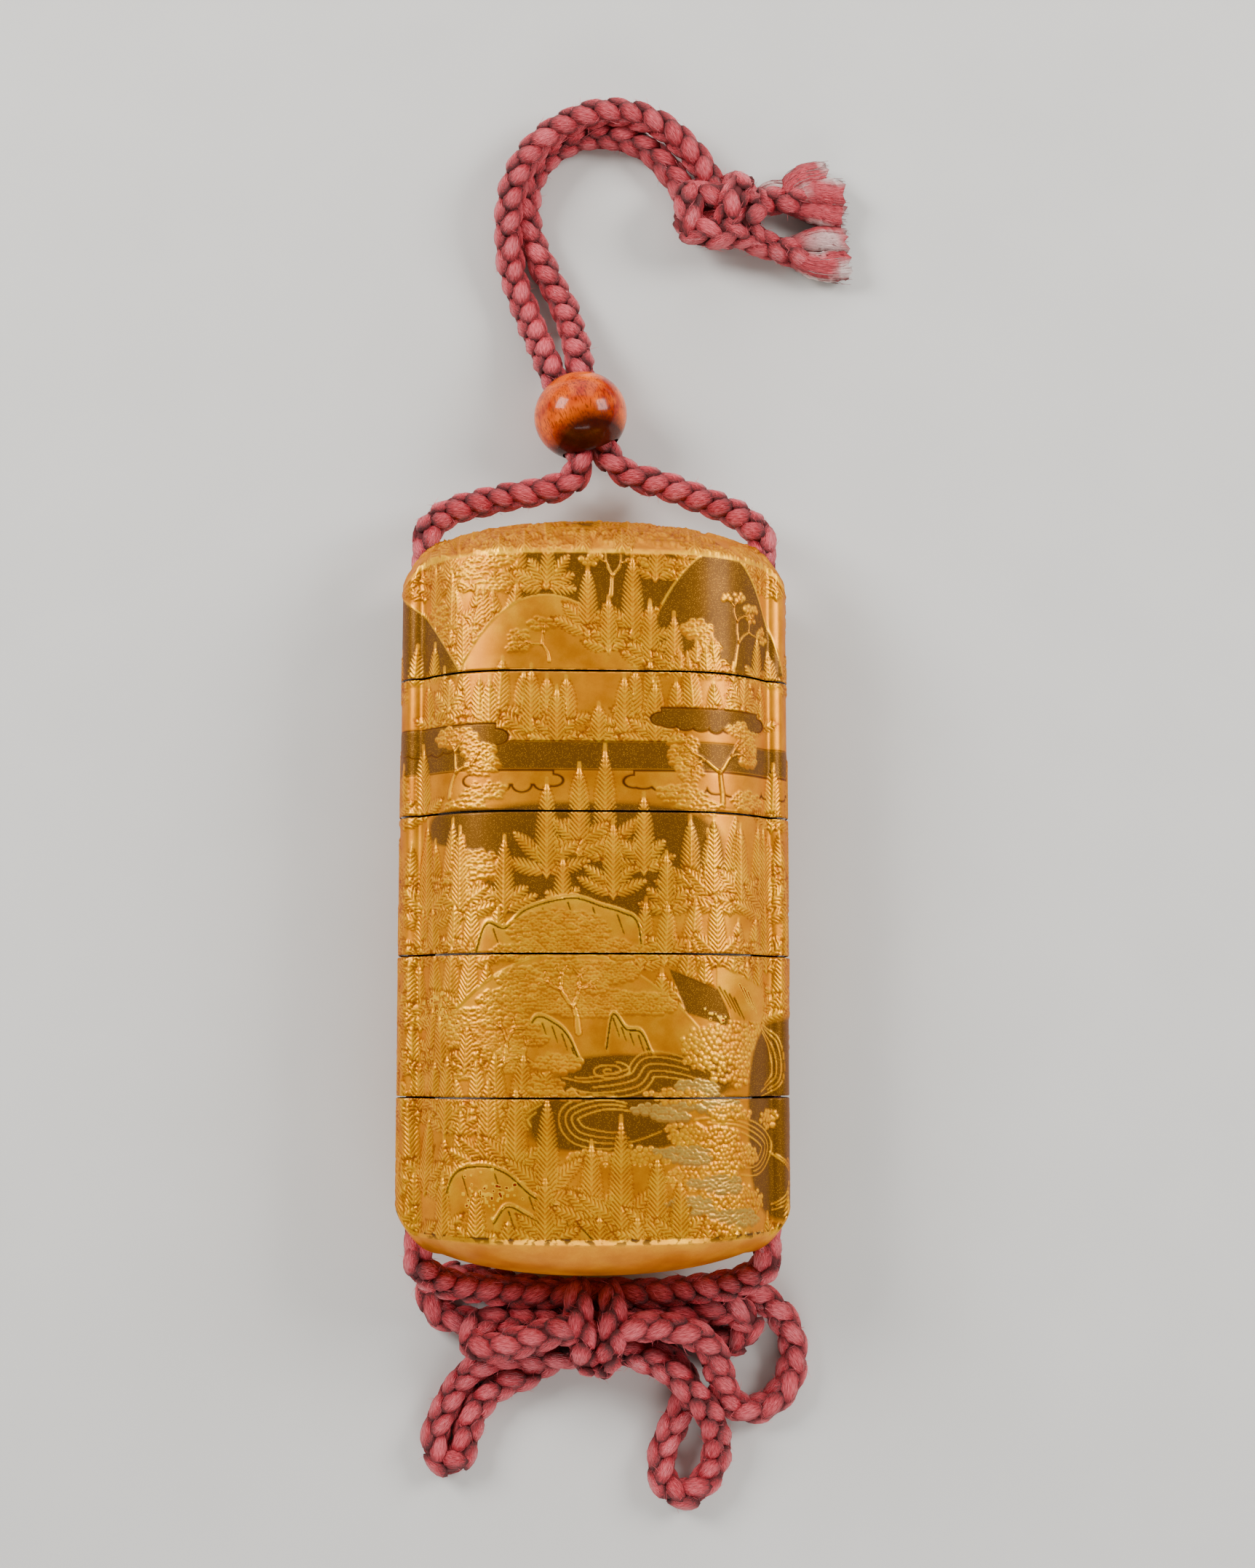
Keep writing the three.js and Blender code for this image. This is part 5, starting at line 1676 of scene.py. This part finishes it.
@dataclass
class BraidShop:
    """Sizes of the braid, and the node tree that plaits it along a path."""
    silk: Material
    pitch: float = 3.3
    weave_radius: float = 1.10
    core_radius: float = 1.3
    slant: float = 0.42
    lean: float = -0.13
    stitch_length: float = 4.7
    stitch_width: float = 2.75
    stitch_depth: float = 1.9
    fibre_length: float = 1.5
    fibre_radius: float = 0.032
    fuzz_density: float = 3.6e5
    least_height: float = 0.05
    stitch: Object = field(init=False)
    fibre: Object = field(init=False)
    tree: NodeTree = field(init=False)

    def __post_init__(self) -> None:
        """Makes the stitch, the stray fibre and the node tree."""
        self.stitch, self.fibre, self.tree = self.make_stitch(), self.make_fibre(), self.make_tree()

    def make_stitch(self) -> Object:
        """One plump leaf-shaped stitch: x outwards, y across, z along the cord."""
        stations = (0.10, 0.30, 0.52, 0.74, 0.92)
        sides = 6
        points: list[list[float]] = [[0.0, 0.0, -self.stitch_length / 2]]
        lay = [[0.0, 0.0, 0.0]]
        lift = [0.0]
        for t in stations:
            swell = math.sin(math.pi * t ** 0.9) ** 0.62
            for k in range(sides):
                a = (k + 0.5) / sides * FULL
                across, out = math.sin(a), math.cos(a)
                points.append([out * swell * self.stitch_depth / 2, across * swell * self.stitch_width / 2,
                               (t - 0.5) * self.stitch_length])
                lay.append([across * swell + 0.35 * (t - 0.5), t * 2.4, out * 0.4])
                # lift: how far a point faces out of the braid; the silk paints it lighter there and darker in
                # the depths, as painted light and shade.
                lift.append(max(0.0, 0.5 + 0.5 * out) * swell)
        points.append([0.0, 0.0, self.stitch_length / 2])
        lay.append([0.0, 2.4, 0.0])
        lift.append(0.0)
        faces: list[Any] = []
        for k in range(sides):
            n = (k + 1) % sides
            faces.append([0, 1 + n, 1 + k])
            for r in range(len(stations) - 1):
                a = 1 + r * sides
                faces.append([a + k, a + n, a + sides + n, a + sides + k])
            last = 1 + (len(stations) - 1) * sides
            faces.append([last + k, last + n, len(points) - 1])
        return self.hidden(mesh_object("stitch", np.array(points), outwards(points, faces),
                                       {"lay": np.array(lay), "lift": np.array(lift)}))

    def make_fibre(self) -> Object:
        """One stray fibre, thin and bowed, that grows along z."""
        points, faces = [], []
        for z, bow, size in ((0.0, 0.0, 1.0), (0.5, 0.10, 0.8)):
            for k in range(3):
                a = k / 3 * FULL
                points.append([bow * self.fibre_length + math.cos(a) * size * self.fibre_radius,
                               math.sin(a) * size * self.fibre_radius, z * self.fibre_length])
        points.append([0.34 * self.fibre_length, 0.0, self.fibre_length])
        for k in range(3):
            n = (k + 1) % 3
            faces += [[k, n, 3 + n, 3 + k], [3 + k, 3 + n, 6]]
        faces.append([2, 1, 0])
        lay = np.zeros((7, 3))
        # Stray fibres take full lift, so the silk gives them its painted highlight.
        return self.hidden(mesh_object("fibre", np.array(points), outwards(points, faces),
                                       {"lay": lay, "lift": np.full(7, 1.0)}))

    def hidden(self, obj: Object) -> Object:
        """Takes a pattern piece out of the scene, so that only its copies show."""
        bpy.context.collection.objects.unlink(obj)
        return obj

    def make_tree(self) -> NodeTree:
        """Builds the tree that turns a path into a braid with a core and stray fibres."""
        group = bpy.data.node_groups.new("Braid Along Path", "GeometryNodeTree")
        floats = ("Pitch", "Weave Radius", "Core Radius", "Slant", "Lean", "Fuzz Density")
        kinds = {"Path": "Geometry", **dict.fromkeys(floats, "Float"), "Seed": "Int", "Stitch": "Object",
                 "Fibre": "Object", "Silk": "Material"}
        for label, kind in kinds.items():
            group.interface.new_socket(label, in_out="INPUT", socket_type="NodeSocket" + kind)
        group.interface.new_socket("Cord", in_out="OUTPUT", socket_type="NodeSocketGeometry")
        t = Tree(group)
        into = group.nodes.new("NodeGroupInput").outputs
        seed = into["Seed"]
        curve = t.geo("MeshToCurve", {0: into["Path"]})
        half = t.math("DIVIDE", into["Pitch"], 2.0)
        spots = t.add("GeometryNodeCurveToPoints", {"Curve": curve, "Length": half}, mode="LENGTH").outputs
        index = t.geo("InputIndex")
        rows = t.geo("StoreNamedAttribute", {"Geometry": spots[0], "Name": "row", "Value": index},
                     data_type="FLOAT", domain="POINT")
        pair = t.add("GeometryNodeDuplicateElements", {"Geometry": rows, "Amount": 2}, domain="POINT").outputs
        odd = t.math("MODULO", t.geo("InputNamedAttribute", {"Name": "row"}, data_type="FLOAT"), 2.0)
        base = t.add("FunctionNodeAxesToRotation", {0: spots["Tangent"], 1: spots["Normal"]}).outputs[0]
        turn = t.plus(t.plus(t.times(pair[1], math.pi), t.times(odd, math.pi / 2)), math.pi / 4)
        around = t.turned(base, 0.0, 0.0, turn)
        out = t.vector(into["Weave Radius"], 0.0, 0.0)
        shift = t.add("FunctionNodeRotateVector", {0: out, 1: around}).outputs[0]
        moved = t.geo("SetPosition", {"Geometry": pair[0], "Offset": shift})
        sign = t.math("SUBTRACT", 1.0, t.times(odd, 2.0))
        slant = t.plus(t.times(into["Slant"], sign), t.random(-0.09, 0.09, seed))
        laid = t.geo("InstanceOnPoints", {
            "Points": moved, "Instance": t.shape(into["Stitch"]),
            "Rotation": t.turned(around, slant, into["Lean"], 0.0),
            "Scale": t.random(0.92, 1.08, t.plus(seed, 3.0))})
        marked = t.geo("StoreNamedAttribute", {
            "Geometry": laid, "Name": "chance", "Value": t.random(0.0, 1.0, t.plus(seed, 7.0))},
            data_type="FLOAT", domain="INSTANCE")
        braid = t.geo("RealizeInstances", {0: marked})
        ring = t.geo("CurvePrimitiveCircle", {"Resolution": 7, "Radius": into["Core Radius"]})
        core = t.geo("CurveToMesh", {"Curve": curve, "Profile Curve": ring, "Fill Caps": True})
        roots = t.add("GeometryNodeDistributePointsOnFaces", {
            "Mesh": braid, "Density": into["Fuzz Density"], "Seed": t.plus(seed, 11.0)}).outputs
        bent = t.turned(roots["Rotation"], t.random(1.25, 1.5, 21), 0.0, t.random(0.0, 6.28, 23))
        stray = t.geo("InstanceOnPoints", {"Points": roots[0], "Instance": t.shape(into["Fibre"]),
                                           "Rotation": bent, "Scale": t.random(0.35, 1.1, 24)})
        whole = t.add("GeometryNodeJoinGeometry")
        for part in (t.geo("RealizeInstances", {0: stray}), core, braid):
            group.links.new(part, whole.inputs[0])
        spot = t.add("ShaderNodeSeparateXYZ", {0: t.geo("InputPosition")}).outputs
        level = t.vector(spot[0], spot[1], t.math("MAXIMUM", spot[2], self.least_height * MM))
        rested = t.geo("SetPosition", {"Geometry": whole.outputs[0], "Position": level})
        smooth = t.geo("SetShadeSmooth", {"Geometry": rested, "Shade Smooth": True})
        real = t.geo("RealizeInstances", {0: smooth})
        dressed = t.geo("SetMaterial", {"Geometry": real, "Material": into["Silk"]})
        group.links.new(dressed, group.nodes.new("NodeGroupOutput").inputs[0])
        return group

    def plait(self, name: str, path: Array, seed: int, fuzz: float = 1.0) -> Object:
        """Braids a cord along points.

        Args:
            name: the object's name.
            path: points in millimetres, close together.
            seed: seed of the braid's small irregularities.
            fuzz: share of the usual stray fibres.

        Returns:
            The braided mesh's object.
        """
        mesh = bpy.data.meshes.new(name)
        mesh.from_pydata((path * MM).tolist(), [(i, i + 1) for i in range(len(path) - 1)], [])
        obj = linked(name, mesh)
        modifier = obj.modifiers.new("braid", "NODES")
        modifier.node_group = self.tree
        given = {"Pitch": self.pitch * MM, "Weave Radius": self.weave_radius * MM,
                 "Core Radius": self.core_radius * MM, "Slant": self.slant, "Lean": self.lean,
                 "Fuzz Density": self.fuzz_density * fuzz, "Seed": seed, "Stitch": self.stitch,
                 "Fibre": self.fibre, "Silk": self.silk}
        for item in self.tree.interface.items_tree:
            if item.name in given:
                modifier[item.identifier] = given[item.name]
        bake_modifiers(obj)
        return obj


@dataclass
class CordSet:
    """The cord's visible runs: two strands up to the top knot, two down to the bow, and the bow's loops."""
    shop: BraidShop
    diameter: float = 3.3
    routes: dict[str, Route] = field(default_factory=lambda: {
        "cord_upper_left": [
            [-22, 44.6, 12.5], [-21.9, 47.1, 12.2], [-19.2, 50.4, 10], [-13, 53, 7.5],
            [-7.4, 54.4, 6.2], [-3.2, 55.8, 6], [-1.8, 58.6, 6.2], [-2.6, 61.8, 6.3], [-3.5, 64.7, 6.3],
            [-4.4, 67.6, 6.3], [-5.5, 70.5, 6.2], [-7, 74.6, 4.4], [-9.2, 80.4, 2.4], [-11.2, 86.6, 2.6],
            [-11.7, 92.6, 4.2], [-10.8, 98.2, 4.9], [-8, 103.4, 4.8], [-3, 107.2, 4.6], [3.6, 108.7, 4.4],
            [9.8, 106.8, 3.9], [14.4, 102.6, 3], [17.2, 98, 2.6]],
        "cord_upper_right": [
            [22, 44.6, 12.5], [21.9, 47, 12.2], [19.6, 50.1, 10.2], [14.6, 53, 7.8], [9.3, 55.4, 6.4],
            [4.6, 57, 6], [1.9, 59.6, 6.2], [0.9, 62.8, 6.3], [0, 65.7, 6.3], [-0.9, 68.7, 6.3],
            [-1.7, 71.6, 6.1], [-2.4, 75.8, 4.2], [-4, 81.6, 2], [-6.9, 87.4, 1.75], [-9, 93.4, 1.75],
            [-8.8, 99, 1.75], [-6.2, 103.4, 1.75], [-1.8, 106, 1.75], [3.2, 106.3, 1.75],
            [7.6, 104.5, 1.75], [11.1, 100.9, 1.75], [13.6, 97.1, 1.75]],
        "cord_lower_left": [
            [-22, -44.6, 12.5], [-22, -46.9, 12.3], [-18.9, -49.4, 9.6], [-12.8, -50.7, 6.9],
            [-7.8, -51.3, 5.7], [-4.2, -51.4, 5.4]],
        "cord_lower_right": [
            [22, -44.6, 12.5], [22, -46.9, 12.3], [19, -49.4, 9.8], [13.4, -50.6, 7.2],
            [8.6, -51.3, 5.8], [4.9, -51.4, 5.4]],
        "bow_right_ring": [
            [4.9, -51.6, 1.75], [9, -51.9, 1.75], [13.6, -51.6, 1.75], [18.2, -51, 1.75],
            [22.4, -52.4, 1.75], [25.6, -55.8, 1.75], [26.5, -60.2, 1.75], [24.8, -64.6, 1.75],
            [21.2, -66.6, 1.75], [18, -65.4, 2.2], [16.6, -62, 4.6], [14.8, -57.6, 7.6],
            [10.6, -55.4, 9], [4.9, -55.2, 9.05]],
        "bow_right_fold": [
            [4.9, -55.2, 5.4], [9, -54.7, 5.4], [13.6, -53.9, 5.4], [17.4, -53.4, 5.2],
            [20.2, -55, 4.2], [19.4, -57.4, 3], [16.6, -57.6, 2], [13, -56.6, 1.75],
            [9, -55.7, 1.75], [4.9, -55.3, 1.75]],
        "bow_right_drop": [
            [4.9, -58.9, 5.4], [9, -60.5, 5.4], [12.8, -63.6, 5.4], [15.6, -67.6, 4], [16.4, -71.6, 2.2],
            [15.2, -75.2, 1.75], [12.3, -77.2, 1.75], [9.5, -75.6, 1.75], [9.3, -72.2, 1.75],
            [10.8, -68.6, 1.75], [12.3, -65, 1.75], [11.6, -61.4, 1.75], [8.4, -59.4, 1.75],
            [4.9, -59, 1.75]],
        "bow_left_ear": [
            [-4.2, -51.5, 1.75], [-9, -51, 1.75], [-14, -50, 1.75], [-18.4, -49.6, 1.75],
            [-20.9, -51.6, 1.75], [-19.6, -54.2, 1.75], [-16, -55.2, 1.75], [-10, -55.2, 1.75],
            [-4.2, -55.2, 1.75]],
        "bow_left_fold": [
            [-4.2, -55.1, 5.4], [-8.6, -54.7, 5.4], [-12.4, -54.6, 5.4], [-15.2, -55.6, 5.5],
            [-15, -57.6, 6.4], [-12, -57.8, 7.6], [-8.4, -56.8, 8.7], [-4.2, -55.6, 9.05]],
        "bow_left_drop": [
            [-4.2, -58.9, 5.4], [-8, -59.1, 4.8], [-12, -59.5, 3.2], [-16.2, -62.2, 1.75],
            [-18.9, -66.4, 1.75], [-20.1, -70.2, 1.75], [-19.3, -72.6, 1.75], [-17, -72.6, 1.75],
            [-16.2, -70, 1.75], [-15, -66.6, 1.75], [-12.4, -63.8, 1.75], [-8.6, -62, 1.75],
            [-4.2, -59.6, 1.75]],
    })

    runs: dict[str, tuple[tuple[str, bool], ...]] = field(default_factory=lambda: {
        "upper_left": (("cord_upper_left", True),),
        "upper_right": (("cord_upper_right", True),),
        "left_to_ring": (("cord_lower_left", True), ("bow_right_ring", True)),
        "right_to_ear": (("cord_lower_right", True), ("bow_left_ear", True)),
        "folds": (("bow_left_fold", True), ("bow_right_fold", True)),
        "drops": (("bow_right_drop", True), ("bow_left_drop", False)),
    })

    def build(self, pieces_on: dict[str, list[Object]]) -> None:
        """A run through the bow's knot takes two of the solids.

        Args:
            pieces_on: pieces that sit on a run, by the run's name; not used.
        """
        for number, (name, parts) in enumerate(self.runs.items()):
            route: list[Sequence[float]] = []
            for node, forward in parts:
                route += self.routes[node] if forward else self.routes[node][::-1]
            path = follow(route)
            obj = self.shop.plait("silk_" + name, path, 10 + number)
            settle(obj, "silk_cord", *(node for node, _ in parts))
            length = float(np.linalg.norm(np.diff(path, axis=0), axis=1).sum())
            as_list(pieces_on.get(name, []))
            log.info("%s: %.1f mm long", obj.name, length)


@dataclass
class Knots:
    """Turns of cord that show on the two knots, and the hidden runs in the case's channels."""
    shop: BraidShop
    top_turns: tuple[Route, ...] = (
        ([14.6, 97.4, 2.4], [12.9, 96.9, 5], [12.9, 94.6, 6.6], [13.2, 91.9, 6], [15.6, 90.9, 6.2],
         [18.6, 90.9, 6.2], [21.4, 91.2, 4.6], [23, 90.7, 3.2]),
        ([17.4, 92.6, 2], [18.2, 91.6, 5.2], [18.4, 93.6, 7.2], [19.4, 96.2, 7.2], [19.8, 98.3, 5.2],
         [18.4, 98.4, 2.6], [16.6, 96.4, 1.8]),
        ([14.6, 96.6, 5.2], [16.8, 96.4, 6], [18, 94.6, 5.4]),
        ([20, 92.4, 6.4], [21.6, 93.8, 6.4], [22, 95.8, 5], [22.6, 96.4, 4]),
        ([13.4, 94, 1.8], [16.8, 92.4, 1.8], [20.8, 94.2, 1.8]),
        ([14.2, 93.2, 3.4], [16.2, 94.6, 4.6], [18.2, 95.6, 3.6]),
        ([21, 97, 3.6], [20.8, 94.6, 3.4], [20.6, 92.2, 3.2]),
    )
    bow_turns: tuple[Route, ...] = (
        ([-1.9, -51.6, 2.6], [-1.8, -51.2, 5.4], [-1.9, -52.6, 8], [-1.6, -55.2, 8.9], [-1, -58, 7.8],
         [-0.4, -59.9, 5.2], [-0.6, -58.6, 2.2], [-1.4, -55.2, 1.7], [-1.9, -52.4, 2]),
        ([2.4, -52, 2.6], [2.4, -51.6, 5.4], [2.6, -53, 8.2], [2.6, -55.6, 9], [2.2, -58.4, 7.9],
         [1.6, -60.2, 5.2], [1.8, -58.8, 2.2], [2.2, -55.6, 1.7], [2.4, -52.8, 2]),
    )

    def build(self) -> tuple[Object, Object]:
        """Braids both knots, each joined to one piece, and returns them."""
        return self.one("top_knot", self.top_turns, 40), self.one("bow_knot", self.bow_turns, 60)

    def one(self, node: str, turns: Sequence[Route], seed: int) -> Object:
        """Braids the turns of one knot and joins them."""
        parts = [self.shop.plait("silk_" + node, follow(turn), seed + i, fuzz=1.6)
                 for i, turn in enumerate(turns)]
        obj = join(parts)
        settle(obj, "silk_cord", node)
        return obj

    def channel_runs(self, reach: float = 44.3, z: float = 12.5) -> None:
        """Braids the straight run in each channel."""
        for name, side in (("cord_in_left_channel", -1), ("cord_in_right_channel", 1)):
            y = np.linspace(-reach, reach, 200)
            path = np.stack([np.full(200, side * CHANNEL_X), y, np.full(200, z)], -1)
            obj = self.shop.plait("silk_" + name, path, 80 + side, fuzz=0.0)
            settle(obj, "silk_cord", name)


@dataclass
class CutEnd:
    """A cut end of the cord: braid that opens into frayed tufts."""
    node: str
    stem: Route
    tufts: Sequence[tuple[Route, float, float]]
    seed: int
    fibres: int = 130
    fibre_radius: float = 0.05
    stations: int = 5
    sides: int = 14

    def build(self, shop: BraidShop) -> Object:
        """Builds the stem, the tufts and their loose fibres as one piece.

        Args:
            shop: the braid's sizes and trees.

        Returns:
            The cut end's object.
        """
        rng = np.random.default_rng(self.seed)
        parts = [shop.plait("silk_" + self.node, follow(self.stem), self.seed, fuzz=2.0)]
        for route, half, bleach in self.tufts:
            path = follow(route, 0.5)
            parts.append(self.tuft(path, half, bleach, rng, shop.silk))
            parts.append(self.spray(path, half, bleach, rng, shop.silk))
        obj = join(parts)
        settle(obj, "silk_cord", self.node)
        return obj

    def tuft(self, path: Array, half: float, bleach: float, rng: np.random.Generator,
             finish: Material) -> Object:
        """The solid part of a tuft: a bundle of floss that widens to a cut face."""
        rings, lay, lift, pale = [], [], [], []
        count = len(path)
        across, up = side_axes(path)
        phase = rng.uniform(0, FULL, 3)
        for i in range(count):
            t = i / (count - 1)
            wide, tall = self.girth(half, t)
            a = np.arange(self.sides) / self.sides * FULL
            rough = 1 + rng.uniform(-0.09, 0.09, self.sides)
            rings.append(path[i] + np.outer(np.cos(a) * wide * rough, across[i])
                         + np.outer(np.sin(a) * tall * rough, up[i]))
            lay.append(np.stack([np.cos(a) * 1.6, np.full(self.sides, t * 3.0), np.sin(a) * 0.5], -1))
            patch = np.clip(0.30 + 1.3 * np.sin(phase[0] + 5.2 * t) * np.cos(a * 2 + phase[1])
                            + 0.7 * np.sin(a + phase[2]) + rng.uniform(-0.25, 0.25), 0, 1)
            # Painted light: the tuft's upper side gets more lift, so the silk paints it lighter.
            lift.append(0.30 + 0.5 * np.clip(np.sin(a), 0, 1))
            pale.append(bleach * min(1.0, 1.8 * t) * patch)
        ahead = (path[-1] - path[-3]) / np.linalg.norm(path[-1] - path[-3])
        rings[-1] = rings[-1] + np.outer(rng.uniform(-0.9, 0.7, self.sides), ahead)
        own = {label: np.concatenate([*rows, [rows[0].mean(0)], [rows[-1].mean(0)]])
               for label, rows in (("lift", lift), ("bleach", pale), ("lay", lay))}
        return closed_tube("tuft", rings, finish, {**own, "chance": np.full(len(own["lift"]), 0.5)})

    def girth(self, half: float, t: float) -> tuple[float, float]:
        """Half-width and half-height of a tuft along it: pinched where it starts, plump at its cut face."""
        swell = 0.42 + 0.62 * math.sin(math.pi * min(1.0, 0.06 + 0.62 * t)) ** 0.8
        return half * swell * (1 + 0.12 * t), half * swell * (0.92 - 0.12 * t)

    def spray(self, path: Array, half: float, bleach: float, rng: np.random.Generator,
              finish: Material) -> Object:
        """Loose fibres over a tuft, which run past its cut face."""
        across, up = side_axes(path)
        count, last = len(path), self.stations - 1
        points: list[Array] = []
        faces: list[list[int]] = []
        pale: list[float] = []
        for _ in range(self.fibres):
            start = rng.uniform(0.1, 0.7)
            end = rng.uniform(0.92, 1.0)
            a = rng.uniform(0, FULL)
            reach = rng.uniform(0.3, 1.04)
            over = rng.uniform(-0.2, 1.1)
            flare = rng.uniform(0.0, 0.25) * (5.0 if rng.random() < 0.14 else 1.0)
            white = float(rng.random() < 0.3)
            base = len(points)
            for k in range(self.stations):
                t = start + (end - start) * k / last
                i = min(count - 1, int(t * (count - 1)))
                open_by = flare * (k / last) ** 2
                wide, tall = (size * reach + open_by for size in self.girth(half, t))
                centre = path[i] + across[i] * math.cos(a) * wide + up[i] * math.sin(a) * tall
                if k == last:
                    centre = centre + (path[-1] - path[-2]) / np.linalg.norm(path[-1] - path[-2]) * over
                thick = self.fibre_radius * (1 - 0.5 * k / last)
                for j in range(3):
                    b = j / 3 * FULL
                    spot = centre + across[i] * math.cos(b) * thick + up[i] * math.sin(b) * thick
                    spot[2] = max(self.fibre_radius, spot[2])
                    points.append(spot)
                    pale.append(bleach * white)
            for a0 in range(base, base + 3 * last, 3):
                faces += [[a0 + j, a0 + (j + 1) % 3, a0 + 3 + (j + 1) % 3, a0 + 3 + j] for j in range(3)]
            faces.append([base + 2, base + 1, base])
            faces.append([base + 3 * last + j for j in range(3)])
        total = len(points)
        return mesh_object("spray", np.array(points), faces, {
            "lay": np.random.default_rng(self.seed + 5).uniform(0, 3, (total, 3)),
            "lift": np.full(total, 0.8), "chance": np.full(total, 0.6), "bleach": np.array(pale)}, finish)


def side_axes(path: Array) -> tuple[Array, Array]:
    """Level and upward axes across a path at each of its points."""
    along = np.gradient(path, axis=0)
    along /= np.linalg.norm(along, axis=1)[:, None]
    across = np.stack([-along[:, 1], along[:, 0], np.zeros(len(path))], -1)
    across /= np.linalg.norm(across, axis=1)[:, None]
    return across, np.cross(along, across)


# ---- studio ----------------------------------------------------------------------------------
@dataclass
class Studio:
    """Camera, soft lights and the pale ground."""
    eye: tuple[float, float, float] = (-8.0, -19.86, 295.0)
    target: tuple[float, float, float] = (4.32, 14.12, 12.5)
    sensor: float = 36.0
    focal_share: float = 3021.6 / 2156
    lit: tuple[float, float, float] = (0.0, 0.01, 0.01)

    def camera(self) -> None:
        """Places the camera above the object, level across."""
        data = bpy.data.cameras.new("camera")
        data.sensor_width = self.sensor
        data.lens = self.sensor * self.focal_share
        data.clip_start = 0.01
        data.clip_end = 10.0
        obj = linked("camera", data)
        eye, target = Vector(self.eye) * MM, Vector(self.target) * MM
        ahead = (target - eye).normalized()
        right = ahead.cross(Vector((0, 1, 0))).normalized()
        up = right.cross(ahead)
        obj.matrix_world = Matrix.Translation(eye) @ Matrix((right, up, -ahead)).transposed().to_4x4()
        bpy.context.scene.camera = obj

    def lights(self) -> None:
        """Adds two side softboxes, one beyond each end and an even surround."""
        self.area("softbox_left", (-0.42, 0.26, 0.36), 0.26, 4.2)
        self.area("softbox_right", (0.44, 0.20, 0.34), 0.26, 3.3)
        self.area("softbox_top", (0.02, 0.62, 0.30), 0.60, 2.5)
        self.area("softbox_low", (0.06, -0.52, 0.24), 0.40, 2.5)
        world = bpy.data.worlds.new("surround")
        world.use_nodes = True
        world.node_tree.nodes["Background"].inputs["Color"].default_value = (1.0, 0.96, 0.88, 1.0)
        world.node_tree.nodes["Background"].inputs["Strength"].default_value = 0.25
        bpy.context.scene.world = world

    def area(self, name: str, place: tuple[float, float, float], size: float, power: float) -> None:
        """Adds one square light that faces the object."""
        data = bpy.data.lights.new(name, "AREA")
        data.size = size
        data.energy = power
        spot = Vector(place)
        facing = (Vector(self.lit) - spot).to_track_quat("-Z", "Y").to_matrix().to_4x4()
        linked(name, data).matrix_world = Matrix.Translation(spot) @ facing

    def ground(self, finish: Material, half: float = 900.0) -> None:
        """Lays the pale ground."""
        points = np.array([[-half, -half, 0], [half, -half, 0], [half, half, 0], [-half, half, 0]])
        mesh_object("ground", points, [[0, 1, 2, 3]], finish=finish)


# ---- assembly --------------------------------------------------------------------------------
def build_case() -> None:
    """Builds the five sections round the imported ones, the bottom tray first."""
    (left, _, back), (right, lid_top, front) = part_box("lid")
    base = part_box("case_4")[0][1]
    form = CaseForm(width=(right - left) / MM, depth=(front - back) / MM, lid_edge=lid_top / MM - CROWN_RISE,
                    base_edge=base / MM + UNDER_RISE)
    outside, inside = GoldLacquer().build(), InnerLacquer().build()
    picture, crown, columns = Landscape(form).build(), CrownPicture(form).build(), Columns(form).build()
    for name in ("case_4", "case_3", "case_2", "case_1", "lid"):
        low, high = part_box(name)
        section = Section(name="gold_" + name, form=form, columns=columns, picture=picture, crown=crown,
                          low=low[1] / MM, high=high[1] / MM - (0 if name == "lid" else RISER),
                          bottom=End.UNDERSIDE if name == "case_4" else End.FLAT,
                          top=End.CROWN if name == "lid" else End.FLAT)
        settle(section.build(outside, inside), "gold_lacquer", name)


def build_cord() -> None:
    """Builds the bead, the cord, its knots and its cut ends."""
    shop = BraidShop(Silk().build())
    low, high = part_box("bead")
    form = Bead(centre=tuple((a + b) / 2 / MM for a, b in zip(low, high)))
    bead = form.build(BeadWood(form.centre, form.tilt, form.radius).build())
    settle(bead, "bead_wood", "bead")
    knots = Knots(shop)
    top, bow = knots.build()
    knots.channel_runs()
    upper = CutEnd("cut_end_upper", [[21.6, 96, 4.6], [24.2, 96.6, 3.6], [28.6, 96.8, 2.8]],
                   [([[26.2, 97.6, 2.6], [28.6, 99.6, 2.8], [32.4, 100.6, 2.4]], 2.1, 0.8),
                    ([[27.8, 97.6, 2.9], [31, 98.2, 2.9], [34.4, 98, 2.5]], 2, 0.9),
                    ([[27.8, 96, 2.4], [31.4, 95.3, 2.5], [34.8, 94.8, 2.2]], 1.6, 0.6),
                    ([[22.2, 97.4, 3.4], [24.6, 98.7, 3], [27.4, 98.6, 2.8]], 0.95, 0.8)], 90)
    lower = CutEnd("cut_end_lower", [[21, 91.4, 4], [24.4, 90.4, 2.8], [28.8, 89.4, 2.2]],
                   [([[27.4, 90.6, 2.4], [31.2, 91.6, 2.3], [35, 91.4, 2.1]], 1.75, 0.6),
                    ([[27.6, 88.9, 2.1], [31.4, 88, 2], [35.2, 88.2, 2]], 1.95, 0.9)], 91)
    ends = [upper.build(shop), lower.build(shop)]
    CordSet(shop).build({"upper_left": [bead, top, *ends], "left_to_ring": [bow]})


def main() -> None:
    """Builds the camera and the cord first, then the case, the lights and the ground."""
    logging.basicConfig(level=logging.INFO, format="%(name)s %(message)s")
    studio = Studio()
    studio.camera()
    build_cord()
    build_case()
    studio.lights()
    studio.ground(PaleGround().build())


if __name__ == "__main__":
    main()
